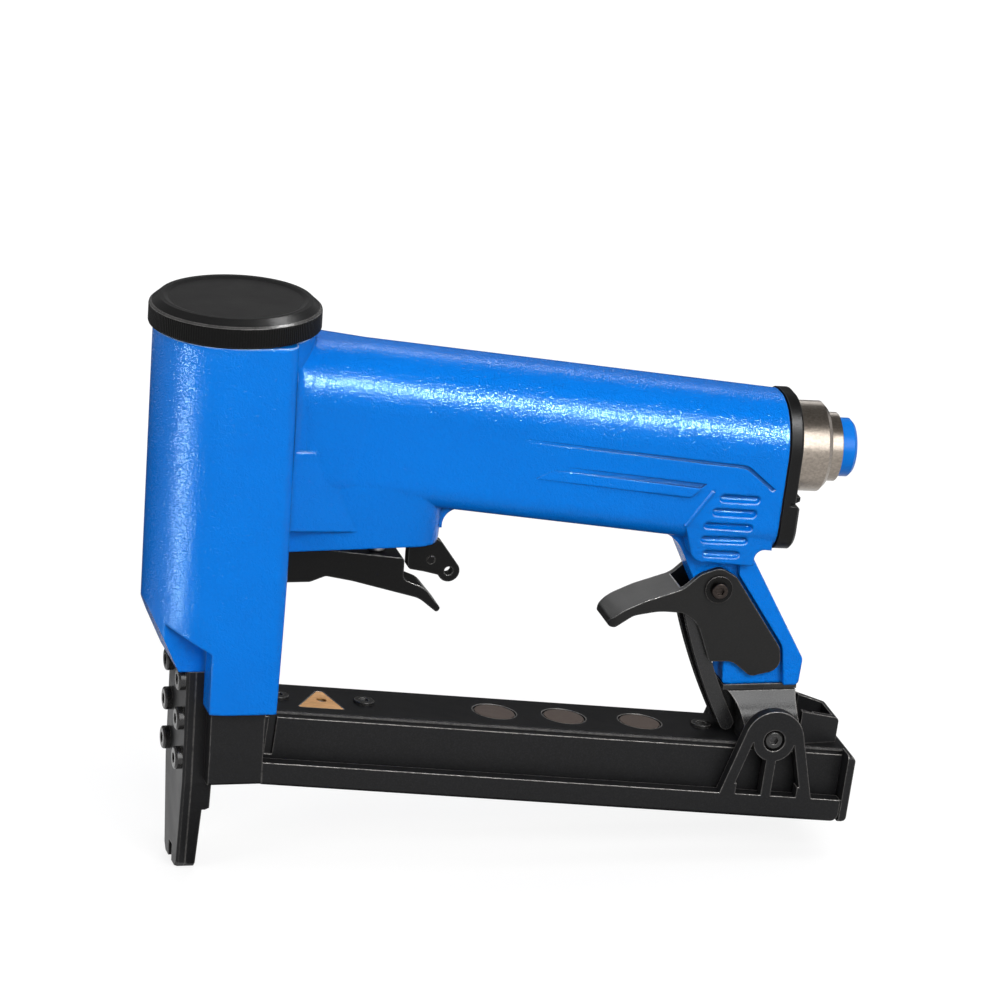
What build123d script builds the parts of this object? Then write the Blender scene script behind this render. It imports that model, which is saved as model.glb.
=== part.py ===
from build123d import *
import os
from math import atan, cos, degrees, radians, sin, tan

# Frame: the origin is on the nose's contact face, at the driver blade. +Z runs up along the blade,
# +X runs to the rear along the handle, and the tool is symmetric across the XZ plane.

# Fits
running = 0.06  # radial clearance round a moving pin, stem or ring
seat = 0.04  # clearance round a fixed piece in its seat
side_gap = 0.3  # clearance beside swinging and sliding pieces
past = 2.0  # how far a cut runs past the face it opens

# Driver blade, its channel and the nose
blade_width = 12.8
blade_thick = 1.3
blade_gap = 0.1
stroke = 48.5
tip_recess = 0.2
nose_plate_thick = 2.65
nose_depth = 5.95
nose_height = 62.3
nose_half = 13.0
nose_tip_half = 9.0
nose_taper_height = 28.0
nose_step_height = 19.0
nose_step_depth = 3.75
nose_tip_depth = 2.85
nose_corner = 1.6
notch_half = 2.2
notch_height = 5.0
nose_screw_side = 8.8
nose_screw_low = 34.5
nose_screw_pitch = 12.2
nose_screw_rows = 3

# Head: barrel, flat back, prow over the nose and cheeks over the magazine
barrel_x = 8.6
head_radius = 23.7
head_top = 163.5
head_base = 52.4
back_offset = 14.6
back_lean = 2.0
back_round = 3.5
prow_half = 13.6
prow_base = 62.6
prow_toe = -6.2
prow_angle = 25.0
cheek_front = 1.6
undercut_height = 70.8
undercut_angle = 28.6

# Cylinder, piston, bumper, head valve and cap
cylinder_x = 5.0
sleeve_radius = 15.4
sleeve_wall = 1.4
sleeve_top = 150.0
chamber_radius = 19.6
chamber_floor = 140.0
bore_floor = 81.0
bumper_thick = 7.2
piston_thick = 12.0
piston_ring_height = 2.4
piston_ring_depth = 2.0
blade_root = 9.0
blade_pin_radius = 1.5
valve_disc_radius = 13.6
valve_disc_thick = 8.0
cap_post_radius = 5.0
cap_post_reach = 5.0
cap_spigot_depth = 2.6
cap_radius = 25.0
cap_rim_height = 5.5
cap_chamfer_height = 2.4
cap_chamfer_run = 2.6
cap_dish_depth = 0.5
cap_land = 1.4
gasket_thick = 0.8

# Handle, its flared neck and the pad beside the head
handle_tilt = 8.05
handle_end_x = 172.2
handle_end_z = 118.0
end_tilt = 3.5
handle_height = 45.0
crown_half = 17.7
crown_radius = 15.0
sole_half = 15.2
sole_radius = 8.0
neck_start = 128.0
neck_spread = 3.5
neck_drop = 1.5
flare_run = 4.0
flare_rise = 2.2
reservoir_radius = 11.5
reservoir_depth = 128.0
port_radius = 4.0
pad_low = 107.2
pad_high = 131.2
pad_half = 20.4
pad_reach = 28.0

# Trigger boss under the handle
boss_base = 98.6
boss_rear = 71.6
boss_half = 14.0
boss_rear_half = 11.0
boss_round = 9.0
boss_corner = 3.0
boss_fillet = 5.0

# Grip grooves and rear slots on the handle's sides
groove_depth = 1.2
groove_side = 16.6
groove_start = 80.4
groove_bend = 12.0
groove_tip = 2.3
groove_rise = 3.5
groove_fall = 6.4
groove_width = 1.0
wedge_start = 74.8
wedge_end = 23.4
wedge_top = -3.6
wedge_height = 4.6
wedge_lip = 1.5
wedge_depth = 0.9
wedge_proud = 0.7
wedge_side = 16.15
crease_low = 27.0
crease_fall = -17.4
crease_high = 21.0
crease_rise = -5.6
crease_radius = 0.55
slot_rows = ((0.3, -0.6, 12.4), (1.6, 3.5, 13.5), (3.1, 7.8, 15.0), (3.8, 12.6, 14.5), (4.2, 17.3, 11.5))
slot_height = 2.7
slot_tilt = 4.4
slot_fall = 0.6
slot_floor = 14.5
slot_draw = 0.58
slot_round = 0.7
slot_inset = 13.0
slot_z = 111.7

# Rear leg
leg_half = 8.6
leg_core_half = 6.0
leg_base = 51.8
leg_inset = 12.0
leg_depth = 22.6
leg_knee_z = 60.0
leg_knee_out = 0.9
leg_heel_run = 18.9
leg_heel_round = 2.9
leg_toe_run = 17.5
leg_toe_flat = 12.0
leg_toe_round = 12.0
gusset_half = 12.8

# End cap, inlet fitting and release collar
end_cap_thick = 3.8
end_block_thick = 5.2
end_cap_lip = 0.4
end_gasket_thick = 0.5
seam_height = 16.0
seam_width = 1.2
lip_half = 7.0
lip_reach = 2.6
fitting_rise = 6.3
fitting_radius = 13.4
fitting_length = 10.5
fitting_chamfer = 1.4
thread_radius = 9.0
ring_radius = 10.2
ring_length = 3.8
collar_radius = 8.7
collar_reach = 5.0
collar_depth = 7.0
collar_travel = 1.5
hose_radius = 4.1
hose_grip = 0.15
flow_radius = 3.2
seal_thick = 2.7
collar_bore = 4.4

# Trigger, its valve and the rear tab
trigger_half = 5.5
trigger_pin_x = 29.5
trigger_pin_z = 101.8
trigger_pin_radius = 1.5
trigger_pin_half = 9.0
trigger_lug = 3.4
trigger_front = 25.5
trigger_rear = 61.4
trigger_top_front = 98.0
trigger_top_rear = 93.2
trigger_sole = 86.6
trigger_arch = 1.7
trigger_tail = 11.6
trigger_tail_drop = 9.0
trigger_round = 2.0
valve_x = 54.0
valve_radius = 6.0
valve_base = 105.8
valve_height = 20.2
stem_radius = 2.5
stem_flange = 4.0
stem_flange_lift = 2.2
stem_flange_thick = 2.0
valve_wall = 1.6
valve_guide = 5.0
spring_wire = 0.45
spring_turns = 4
tab_half = 2.0
tab_gap = 1.9
tab_eye_x = 75.7
tab_eye_z = 87.8
tab_eye_radius = 3.3
tab_eye_hole = 1.3
tab_pin_x = 70.2
tab_pin_z = 91.4
tab_pin_radius = 1.2

# Release lever and latch hook
lever_pivot_lead = 3.8
lever_pivot_z = 82.3
lever_reach = 32.4
lever_plate = 2.0
lever_web = 2.2
pivot_radius = 2.0
washer_radius = 4.2
washer_thick = 0.8
pivot_head_radius = 2.5
pivot_head_height = 1.6
hook_thick = 4.4
hook_inner = 3.6
hook_lift = 1.4
hook_run = 5.8
coil_radius = 3.1
coil_wire = 0.5
coil_turns = 3
coil_pitch = 1.2

# Magazine: a sloping channel, its slide, rail and pusher
mag_slope = 5.6
mag_top = 51.9
mag_head_front = 2.8
mag_head_rear = 18.8
mag_head_half = 19.5
mag_head_low_half = 18.9
mag_head_base = 29.0
mag_head_crease = 38.8
tray_half = 19.0
tray_wall = 4.5
tray_edge = -14.1
tray_base = -21.1
tray_floor = 2.0
tray_overhang = 23.5
tray_round = 3.0
slide_half = 12.5
slide_front = 20.8
slide_depth = 15.5
slide_roof = 2.6
slide_groove_start = 22.0
slide_groove_width = 2.4
slide_groove_depth = 1.0
slide_lip = 0.9
slide_ledge = 1.1
end_plate_thick = 2.3
channel_half = 6.8
rail_half = 5.6
rail_wall = 1.4
rail_top = -5.0
rail_front = 1.1
rail_short = 7.7
rail_slot_half = 1.6
rail_slot_start = 14.0
pusher_front = 3.0
pusher_length = 18.0
pusher_side_gap = 0.3
pusher_cover = 1.9
pusher_depth = 15.0
roll_radius = 3.6
roll_core = 1.7
roll_u = 9.5
roll_w = -12.0
strip_thick = 0.4
window_radius = 6.0
window_thick = 1.3
window_rim = 0.6
window_places = (93.0, 114.4, 137.9)
slide_screw_places = (27.0, 53.0)
slide_screw_lead = 17.3
inlay_u = 38.5
inlay_length = 14.0
inlay_width = 15.0
inlay_short = 1.8
inlay_lean = 2.6
inlay_hole_shift = 1.7
inlay_thick = 0.8
inlay_hole = 1.5
tail_length = 13.0
tail_inset = 0.7
tail_half = 11.0
tail_rear_half = 7.0
tail_front_height = 10.2
tail_rear_height = 7.6
tail_wall = 2.0
tail_floor = 2.0

# Ears of the tray, their bolts, the saddle and the foot plate under the leg
bolt_setback = 14.0
bolt_w = 3.1
bolt_radius = 1.5
bolt_length = 9.0
ear_thick = 4.0
ear_radius = 9.1
ear_spread = 14.2
ear_rim = 3.2
ear_boss = 6.4
ear_rib = 3.0
counterbore_radius = 3.25
counterbore_depth = 2.2
foot_thick = 1.6
foot_half = 7.0
hub_radius = 8.6
saddle_inset = 1.3
saddle_top_half = 8.0
saddle_channel_half = 4.6
saddle_channel_height = 3.4
slide_clear = 0.4
stud_radius = 3.0
stud_grip = 8.0

# Screw heads
cap_head_radius = 2.7
cap_head_height = 2.0
button_head_radius = 3.1
button_head_height = 1.0
nose_head_radius = 3.4
nose_head_height = 2.2
screw_radius = 1.5
socket_share = 0.5

# Places that follow from the sizes above
blade_half = blade_width / 2
channel_y = blade_half + blade_gap
channel_depth = blade_thick / 2 + blade_gap
nose_front = -channel_depth - nose_plate_thick
nose_rear = nose_depth - channel_depth
head_front = barrel_x - head_radius
head_back = barrel_x + back_offset
bore_radius = sleeve_radius + seat
cylinder_radius = sleeve_radius - sleeve_wall
piston_base = bore_floor + bumper_thick + side_gap + stroke
piston_top = piston_base + piston_thick
blade_tip = stroke + tip_recess
cap_base = head_top + gasket_thick
cap_top = cap_base + cap_rim_height + cap_chamfer_height
handle_axis = Vector(cos(radians(handle_tilt)), 0, -sin(radians(handle_tilt)))
handle_plane = Plane((handle_end_x, 0, handle_end_z), x_dir=(0, 1, 0), z_dir=handle_axis)
end_axis = Vector(cos(radians(end_tilt)), 0, -sin(radians(end_tilt)))
end_plane = Plane((handle_end_x, 0, handle_end_z), x_dir=(0, 1, 0), z_dir=end_axis)
handle_reach = (handle_end_x - barrel_x) / handle_axis.X
fitting_axis = end_plane * Pos(0, fitting_rise, 0)
slot_x = handle_end_x - slot_inset
leg_front = handle_end_x - leg_inset
leg_rear = leg_front + leg_depth
lever_pivot_x = leg_front - lever_pivot_lead
saddle_front = leg_front + saddle_inset
bolt_u = leg_front + bolt_setback
tray_end = bolt_u + tray_overhang
rail_end = tray_end - rail_short
tail_rear = tray_end - tail_inset
tail_front = tail_rear - tail_length
slide_screws_u = slide_screw_places + (bolt_u - slide_screw_lead,)
inlay_hole_u = inlay_u + inlay_hole_shift
grip_half = (crown_half + sole_half) / 2
neck_end = (handle_end_x - head_back) / handle_axis.X + handle_height / 2 * tan(radians(handle_tilt))
magazine = Pos(0, 0, mag_top) * Rot(0, mag_slope, 0)
bolt_place = (magazine * Pos(bolt_u, 0, bolt_w)).position
lever_inner = leg_core_half + side_gap
lever_half = lever_inner + lever_plate
saddle_half = tray_half - ear_thick
stud_x = (leg_front + leg_rear) / 2
fitting_shoulder = fitting_length + ring_length
seal_top = fitting_shoulder - collar_depth - collar_travel - side_gap
seal_base = seal_top - seal_thick
saddle_top = leg_base - foot_thick
trigger_length = trigger_rear - trigger_front
valve_top = valve_base + valve_height
stem_flange_z = valve_base + valve_guide + stem_flange_lift
valve_stem_base = trigger_top_front + (trigger_top_rear - trigger_top_front) * (
    valve_x - trigger_front) / trigger_length + side_gap


# Closed outline in the XZ plane, with a radius at each corner or one for all
def outline(points, radius=0.0):
    if radius == 0.0:
        return Plane.XZ * make_face(Polyline(*points, close=True))
    return Plane.XZ * make_face(FilletPolyline(*points, radius=radius, close=True))


# Plate of an XZ outline between two distances from the middle plane, on the near side or the far side
def plate(face, inner, outer, side):
    return Pos(0, side * (inner + outer) / 2, 0) * extrude(face, (outer - inner) / 2, both=True)


# Block between two corners
def block(low, high):
    size = [b - a for a, b in zip(low, high)]
    middle = [(a + b) / 2 for a, b in zip(low, high)]
    return Pos(*middle) * Box(*size)


# Upright round bar or hole
def upright(x, radius, low, high):
    return Pos(x, 0, (low + high) / 2) * Cylinder(radius, high - low)


# Round bar or hole across the tool
def crosswise(x, z, radius, half):
    return Pos(x, 0, z) * Rot(90, 0, 0) * Cylinder(radius, 2 * half)


# Ring round an upright axis
def upright_ring(x, outer, inner, low, high):
    return upright(x, outer, low, high) - upright(x, inner, low - past, high + past)


# Rounded handle section: a wide crown over a narrower sole, grown sideways and upwards
def handle_section(spread=0.0, rise=0.0, drop=0.0):
    crown = crown_half + spread
    sole = sole_half + spread
    high = handle_height / 2 + rise
    low = -handle_height / 2 - drop
    corners = [(-crown, high), (crown, high), (sole, low), (-sole, low)]
    return make_face(FilletPolyline(
        *corners, radius=[crown_radius, crown_radius, sole_radius, sole_radius], close=True))


# Socket screw standing on the XY plane, its shank pointing down
def screw(head_radius, head_height, shank_radius, shank_length):
    head = extrude(Circle(head_radius), head_height)
    head = fillet(head.edges().sort_by(Axis.Z)[-1], min(head_height, head_radius) * 0.3)
    hexagon = Pos(0, 0, head_height) * RegularPolygon(head_radius * socket_share, 6)
    socket = extrude(hexagon, -head_height * 0.6)
    shank = Pos(0, 0, -shank_length / 2) * Cylinder(shank_radius, shank_length)
    return head + shank - socket


# Tapered front outline of the nose, seen along X
def nose_outline(top):
    points = [(-nose_half, top), (-nose_half, nose_taper_height), (-nose_tip_half, nose_corner)]
    points += [(-nose_tip_half + nose_corner, 0), (nose_tip_half - nose_corner, 0)]
    points += [(nose_tip_half, nose_corner), (nose_half, nose_taper_height), (nose_half, top)]
    return Plane.YZ * make_face(Polyline(*points, close=True))


# Places of the nose screws
def nose_screw_places():
    rows = [nose_screw_low + row * nose_screw_pitch for row in range(nose_screw_rows)]
    return [(side * nose_screw_side, z) for side in (-1, 1) for z in rows]


# Height of the handle's flat sole above a given X
def sole_height(x):
    slope = tan(radians(handle_tilt))
    drop = handle_height / 2 / cos(radians(handle_tilt))
    return handle_end_z + (handle_end_x - x) * slope - drop


# Point on the handle's side, measured forward from its end and up from its middle line
def grip_point(forward, rise):
    lean = radians(handle_tilt)
    return (handle_end_x - forward * cos(lean) + rise * sin(lean),
            handle_end_z + forward * sin(lean) + rise * cos(lean))


# Head: a round-fronted block, wedge-cut over the nose
def head_block():
    left = (barrel_x, -head_radius)
    right = (barrel_x, head_radius)
    back = FilletPolyline(left, (head_back, -head_radius), (head_back, head_radius), right, radius=back_round)
    plan = make_face(back + ThreePointArc(right, (head_front, 0), left))
    column = extrude(Pos(0, 0, head_base) * plan, head_top - head_base)
    front = head_front - past
    facet_top = prow_base + (prow_toe - front) / tan(radians(prow_angle))
    back_foot = head_back - back_lean
    side = outline([
        (front, head_top + past), (front, facet_top), (prow_toe, prow_base), (cheek_front, prow_base),
        (cheek_front, head_base - past), (back_foot, head_base - past), (head_back, boss_base),
        (head_back, head_top + past)])
    column = column & extrude(side, head_radius + past, both=True)
    rise = (cheek_front - front) * tan(radians(undercut_angle))
    flank = outline([
        (front, head_base - past), (cheek_front, head_base - past), (cheek_front, undercut_height),
        (front, undercut_height + rise)])
    for way in (-1, 1):
        column -= plate(flank, prow_half, head_radius + past, way)
    return column + upright(barrel_x, head_radius, pad_low, head_top)


# Handle tube with its widened neck, which starts inside the head
def handle_tube():
    tube = extrude(handle_plane.offset(-handle_reach) * handle_section(), handle_reach + past)
    beyond = 2 * handle_height
    tube -= end_plane * Pos(0, 0, handle_height) * Box(beyond, beyond, beyond)
    narrow = handle_plane.offset(-neck_start) * handle_section()
    wide = handle_plane.offset(-neck_end) * handle_section(neck_spread, 0.0, neck_drop)
    return tube + loft([wide, narrow]) + neck_flare()


# Hollow sweep from the handle's crown up to the head's flat back, in straight steps
def neck_flare():
    sections = []
    for run, grow in ((0.0, 1.0), (0.2, 0.5), (0.5, 0.14), (1.0, 0.0)):
        x = head_back + run * flare_run
        middle = handle_end_z + (handle_end_x - x) * tan(radians(handle_tilt))
        share = ((handle_end_x - x) / handle_axis.X - neck_start) / (neck_end - neck_start)
        place = Plane((x, 0, middle), x_dir=(0, 1, 0), z_dir=(1, 0, 0))
        sections.append(place * handle_section(neck_spread * share + grow * flare_rise, grow * flare_rise))
    widest = crown_half + neck_spread
    return loft(sections, ruled=True) & block(
        (head_back, -widest, boss_base), (head_back + flare_run, widest, head_top))


# Plan of the trigger boss at one height, with rounded rear corners
def boss_plan(front_half, rear_half):
    return make_face(FilletPolyline(
        (barrel_x, -front_half), (boss_rear, -rear_half), (boss_rear, rear_half), (barrel_x, front_half),
        radius=[0, boss_round, boss_round, 0], close=True))


# Trigger boss: drawn in from the handle's sides to its base, with a fillet to the handle's sole
def trigger_boss():
    flush = sole_height(boss_rear) + sole_radius
    top = sole_height(barrel_x) + crown_radius
    upper = Pos(0, 0, flush) * boss_plan(sole_half, sole_half)
    body = loft([Pos(0, 0, boss_base) * boss_plan(boss_half, boss_rear_half), upper])
    body += extrude(upper, top - flush)
    side = outline(
        [(0, boss_base), (boss_rear, boss_base), (boss_rear, top), (0, top)], [0, boss_corner, 0, 0])
    body = body & extrude(side, sole_half + past, both=True)
    inside = boss_rear - boss_round
    reach = boss_rear + 2 * boss_fillet
    corner = sole_height(boss_rear) + seat
    low = corner - 1.3 * boss_fillet
    web = outline(
        [(inside, low), (boss_rear, low), (boss_rear, corner), (reach, sole_height(reach) + seat),
         (reach, sole_height(reach) + past), (inside, sole_height(inside) + past)],
        [0, 0, boss_fillet, 0, 0, 0])
    return body + extrude(web, sole_half - sole_radius, both=True)


# Pad that carries the valve passage from the head into the handle
def side_pad():
    tip = head_back + pad_reach
    plan = make_face(Polyline(
        (barrel_x, -pad_half), (head_back, -pad_half), (tip, -boss_rear_half),
        (tip, boss_rear_half), (head_back, pad_half), (barrel_x, pad_half), close=True))
    slope = tan(radians(handle_tilt))
    rise = back_offset * slope
    fall = pad_reach * slope
    side = outline([
        (barrel_x, pad_low + rise), (tip, pad_low - fall),
        (tip, pad_high - fall), (barrel_x, pad_high + rise)])
    body = extrude(Pos(0, 0, pad_low - fall) * plan, pad_high - pad_low + rise + fall)
    return body & extrude(side, pad_half, both=True)


# Rear leg: a strut with a thicker rear strip behind the lever's plates, and a gusset under the handle
def rear_leg():
    rise = handle_height / 3
    knee = leg_rear + leg_knee_out
    heel_x = leg_rear - leg_heel_run
    toe_x = leg_front - leg_toe_run
    flat_x = toe_x - leg_toe_flat
    shoulder = heel_x + 2.2 * leg_heel_round
    lift = 0.2
    body = outline(
        [(flat_x, sole_height(toe_x) + rise), (flat_x, sole_height(flat_x) + lift),
         (toe_x, sole_height(toe_x)), (leg_front, leg_knee_z + leg_knee_out), (leg_front, leg_base),
         (leg_rear, leg_base), (knee, leg_knee_z), (heel_x, sole_height(heel_x)),
         (shoulder, sole_height(shoulder) + lift),
         (shoulder, sole_height(shoulder) + rise)],
        [0, 0, leg_toe_round, 4, 1, 1.5, 3, leg_heel_round, 0, 0])
    front_x = lever_pivot_x + 0.19 * lever_reach
    front_z = lever_pivot_z + 0.13 * lever_reach
    low_x = front_x + 0.457 * lever_reach
    low_z = front_z - 0.698 * lever_reach
    strip = outline(
        [(front_x, sole_height(front_x) + rise), (front_x, front_z), (low_x, low_z),
         (low_x + past / 2, leg_base), (leg_rear, leg_base), (knee, leg_knee_z),
         (heel_x, sole_height(heel_x)), (shoulder, sole_height(shoulder) + lift),
         (shoulder, sole_height(shoulder) + rise)],
        [0, 1, 6, 0, 1.5, 3, leg_heel_round, 0, 0])
    gusset = outline(
        [(slot_x - 16, slot_z - 7), (slot_x - 12.6, slot_z - 18.7), (heel_x + 1.8, slot_z - 21),
         (heel_x + 0.6, sole_height(heel_x)), (shoulder, sole_height(shoulder) + lift),
         (shoulder, sole_height(shoulder) + rise)],
        [0, 4, 1, leg_heel_round, 0, 0])
    leg = extrude(body, leg_core_half, both=True) + extrude(strip, leg_half, both=True)
    foot = slot_z - 21
    flush = sole_height(slot_x) + sole_radius
    draft = Plane.YZ * make_face(Polyline(
        (-gusset_half, foot), (gusset_half, foot), (sole_half, flush), (sole_half, flush + rise),
        (-sole_half, flush + rise), (-sole_half, flush), close=True))
    return leg + (extrude(gusset, sole_half, both=True) & extrude(draft, 2 * leg_rear))


# Plate on the grip's side, turned about its front so that it leaves the surface toward the rear
def leaning(face, inner, outer, start, end, change, side):
    front = grip_point(start, 0)[0]
    edge = side * (inner if change > 0 else outer)
    lean = degrees(atan(change / (start - end)))
    body = plate(face, inner, outer, side)
    return Pos(front, edge, 0) * Rot(0, 0, -side * lean) * Pos(-front, -edge, 0) * body


# Raised wedge and crease on the grip's side
def grip_ribs(side):
    low = wedge_top - wedge_height
    face = outline(
        [grip_point(wedge_start - wedge_height, wedge_top - wedge_lip),
         grip_point(wedge_end + 0.3 * wedge_height, wedge_top - wedge_lip),
         grip_point(wedge_end + 0.9 * wedge_height, low), grip_point(wedge_start, low)],
        [0, 0.1 * wedge_height, 0.1 * wedge_height, 0])
    wedge = leaning(face, wedge_side - past, wedge_side, wedge_start, wedge_end, -wedge_proud, side)
    bottom = grip_point(crease_low, crease_fall)
    top = grip_point(crease_high, crease_rise)
    top_half = grip_half + crease_rise * (crown_half - sole_half) / handle_height
    first = Vector(bottom[0], side * sole_half, bottom[1])
    last = Vector(top[0], side * top_half, top[1])
    bead = extrude(Plane(first, z_dir=last - first) * Circle(crease_radius), (last - first).length)
    return wedge + bead


# Louvre slot, rounded along its floor
def slot_cut(length, side):
    bar = Rot(0, slot_tilt, 0) * (Plane.XZ * SlotOverall(length, slot_height))
    outward = Vector(0, side, -slot_fall)
    cut = extrude(bar, (crown_half + past - slot_floor) * outward.length, dir=outward)
    floor = cut.faces().sort_by(Axis.Y)[0 if side > 0 else -1]
    return fillet(floor.edges(), slot_round)


# Grooves along the grip and the row of slots at its rear, on one side
def grip_cuts(side):
    wide = crown_half + neck_spread
    low = groove_rise - groove_fall
    long_line = outline(
        [grip_point(groove_start, groove_rise), grip_point(groove_bend, groove_rise),
         grip_point(groove_tip, low),
         grip_point(groove_tip + 0.9 * groove_width, low - 0.7 * groove_width),
         grip_point(groove_bend + 0.5 * groove_width, groove_rise - groove_width),
         grip_point(groove_start, groove_rise - groove_width)],
        [0, 5 * groove_width, 0, 0, 5 * groove_width, 0])
    lip_low = wedge_top - wedge_lip
    lip_start = wedge_start - 2 * wedge_height
    lip = outline([
        grip_point(lip_start, wedge_top), grip_point(wedge_end, wedge_top),
        grip_point(wedge_end + 0.3 * wedge_height, lip_low), grip_point(lip_start, lip_low)])
    cuts = leaning(long_line, groove_side, wide, groove_start, groove_tip, groove_depth, side)
    cuts += leaning(lip, wedge_side, wide, lip_start, wedge_end, wedge_depth, side)
    for row, (back, drop, length) in enumerate(slot_rows):
        floor = slot_floor - row * slot_draw
        lift = slot_fall * (grip_half - slot_floor)
        cuts += Pos(slot_x - back, side * floor, slot_z - drop + lift) * slot_cut(length, side)
    return cuts


# Housing: head, handle, boss, pad and leg in one casting, with its bores
def housing():
    body = head_block() + handle_tube() + trigger_boss() + side_pad() + rear_leg()
    body -= block((head_front, -head_radius, head_top),
                  (head_back + handle_height, head_radius, 2 * head_top))
    body -= upright(cylinder_x, bore_radius, bore_floor, sleeve_top)
    body -= upright(barrel_x, chamber_radius, chamber_floor, head_top + past)
    body -= block((cheek_front - past, -nose_half - seat, head_base - past),
                  (nose_rear + seat, nose_half + seat, prow_base))
    slot_half = channel_depth + side_gap
    slot_y = channel_y + side_gap
    body -= block((-slot_half, -slot_y, prow_base - past), (slot_half, slot_y, bore_floor + past))
    supply = handle_plane * Pos(0, fitting_rise, 0)
    chamber = extrude(supply * Pos(0, 0, past) * Circle(reservoir_radius), -reservoir_depth)
    port = extrude(supply * Circle(port_radius), -handle_reach + chamber_radius / 2)
    body -= chamber + port
    reservoir_middle = sole_height(valve_x) + handle_height / 2 + fitting_rise
    body -= upright(valve_x, valve_radius, boss_base - past, reservoir_middle)
    well_half = trigger_half + side_gap
    well_top = trigger_pin_z + trigger_lug + side_gap
    body -= block((trigger_front - past / 2, -well_half, boss_base - past),
                  (trigger_rear + tab_gap - seat, well_half, well_top))
    body -= crosswise(trigger_pin_x, trigger_pin_z, trigger_pin_radius + seat, trigger_pin_half + seat)
    body -= extrude(tab_tenon(seat), tab_half + seat, both=True)
    body -= crosswise(lever_pivot_x, lever_pivot_z, pivot_radius + seat, leg_half + past)
    pocket = coil_radius + coil_wire + side_gap
    pocket_depth = coil_turns * coil_pitch + 3 * coil_wire
    body -= Pos(0, -leg_core_half, 0) * crosswise(lever_pivot_x, lever_pivot_z, pocket, pocket_depth)
    body -= upright(stud_x, stud_radius + seat, leg_base - past, leg_base + stud_grip)
    for side in (-1, 1):
        body += grip_ribs(side)
        body -= grip_cuts(side)
    return body


# Tenon that holds the rear tab in the boss, grown by a clearance
def tab_tenon(clear):
    front = trigger_rear + tab_gap + side_gap - clear
    rear = boss_rear - tab_half / 2 + clear
    top = boss_base + 2.5 * tab_half + clear
    return outline([(front, boss_base - past), (rear, boss_base - past), (rear, top), (front, top)])


def head_cap():
    rim = cap_radius
    top_radius = cap_radius - cap_chamfer_run
    spigot = chamber_radius - seat
    dish = cap_top - cap_dish_depth
    half = [
        (0, cap_base - cap_spigot_depth), (spigot, cap_base - cap_spigot_depth), (spigot, cap_base),
        (rim, cap_base), (rim, cap_base + cap_rim_height), (top_radius, cap_top),
        (top_radius - cap_land, cap_top), (top_radius - 2 * cap_land, dish), (0, dish)]
    turned = revolve(Plane.XZ * make_face(Polyline(*half, close=True)), Axis.Z)
    post_base = cap_base - cap_spigot_depth - cap_post_reach
    return Pos(barrel_x, 0, 0) * turned + upright(cylinder_x, cap_post_radius, post_base, cap_base)


def cap_gasket():
    return upright_ring(barrel_x, head_radius - side_gap, chamber_radius + seat, head_top, cap_base)


def cylinder_sleeve():
    return upright_ring(cylinder_x, sleeve_radius, cylinder_radius, bore_floor, sleeve_top)


def bumper():
    ring = upright(cylinder_x, cylinder_radius - seat, bore_floor, bore_floor + bumper_thick)
    ring = fillet(ring.edges().group_by(Axis.Z)[-1], bumper_thick / 4)
    slot_half = channel_depth + 2 * side_gap
    slot_y = channel_y + 2 * side_gap
    return ring - block((-slot_half, -slot_y, bore_floor - past),
                        (slot_half, slot_y, bore_floor + bumper_thick + past))


def piston():
    body = upright(cylinder_x, cylinder_radius - running, piston_base, piston_top)
    groove_low = piston_base + (piston_thick - piston_ring_height) / 2 - seat
    groove = upright_ring(cylinder_x, cylinder_radius, cylinder_radius - piston_ring_depth - seat, groove_low,
                          groove_low + piston_ring_height + 2 * seat)
    slot = block((-blade_thick / 2 - seat, -blade_half - seat, piston_base - past),
                 (blade_thick / 2 + seat, blade_half + seat, piston_base + blade_root + seat))
    return body - groove - slot - blade_pin_bar(seat)


def piston_ring():
    low = piston_base + (piston_thick - piston_ring_height) / 2
    return upright_ring(cylinder_x, cylinder_radius - running / 2, cylinder_radius - piston_ring_depth, low,
                        low + piston_ring_height)


# Pin along X that holds the blade in the piston, grown by a clearance
def blade_pin_bar(clear):
    z = piston_base + piston_ring_height
    half = cylinder_x
    return Pos(0, 0, z) * Rot(0, 90, 0) * Cylinder(blade_pin_radius + clear, 2 * (half + clear))


def blade_pin():
    return blade_pin_bar(0.0)


def driver_blade():
    bar = block((-blade_thick / 2, -blade_half, blade_tip),
                (blade_thick / 2, blade_half, piston_base + blade_root))
    return bar - blade_pin_bar(seat)


def head_valve():
    hole = cap_post_radius + running
    disc = upright_ring(cylinder_x, valve_disc_radius, hole, sleeve_top, sleeve_top + valve_disc_thick)
    return disc + upright_ring(cylinder_x, sleeve_radius, hole, sleeve_top, sleeve_top + valve_disc_thick / 3)


def nose_front_plate():
    face = nose_outline(nose_height)
    body = Pos(nose_front, 0, 0) * extrude(face, nose_plate_thick)
    body -= block((nose_front - past, -notch_half, -past), (0, notch_half, notch_height))
    for y, z in nose_screw_places():
        body -= Pos(0, y, z) * Rot(0, 90, 0) * Cylinder(screw_radius + seat, 4 * nose_plate_thick)
    front_edges = body.edges().filter_by_position(Axis.X, nose_front - 0.01, nose_front + 0.01)
    rim = [e for e in front_edges if e.geom_type == GeomType.LINE and abs(e.center().Y) > nose_tip_half - 2]
    return chamfer(rim, 0.7)


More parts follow.
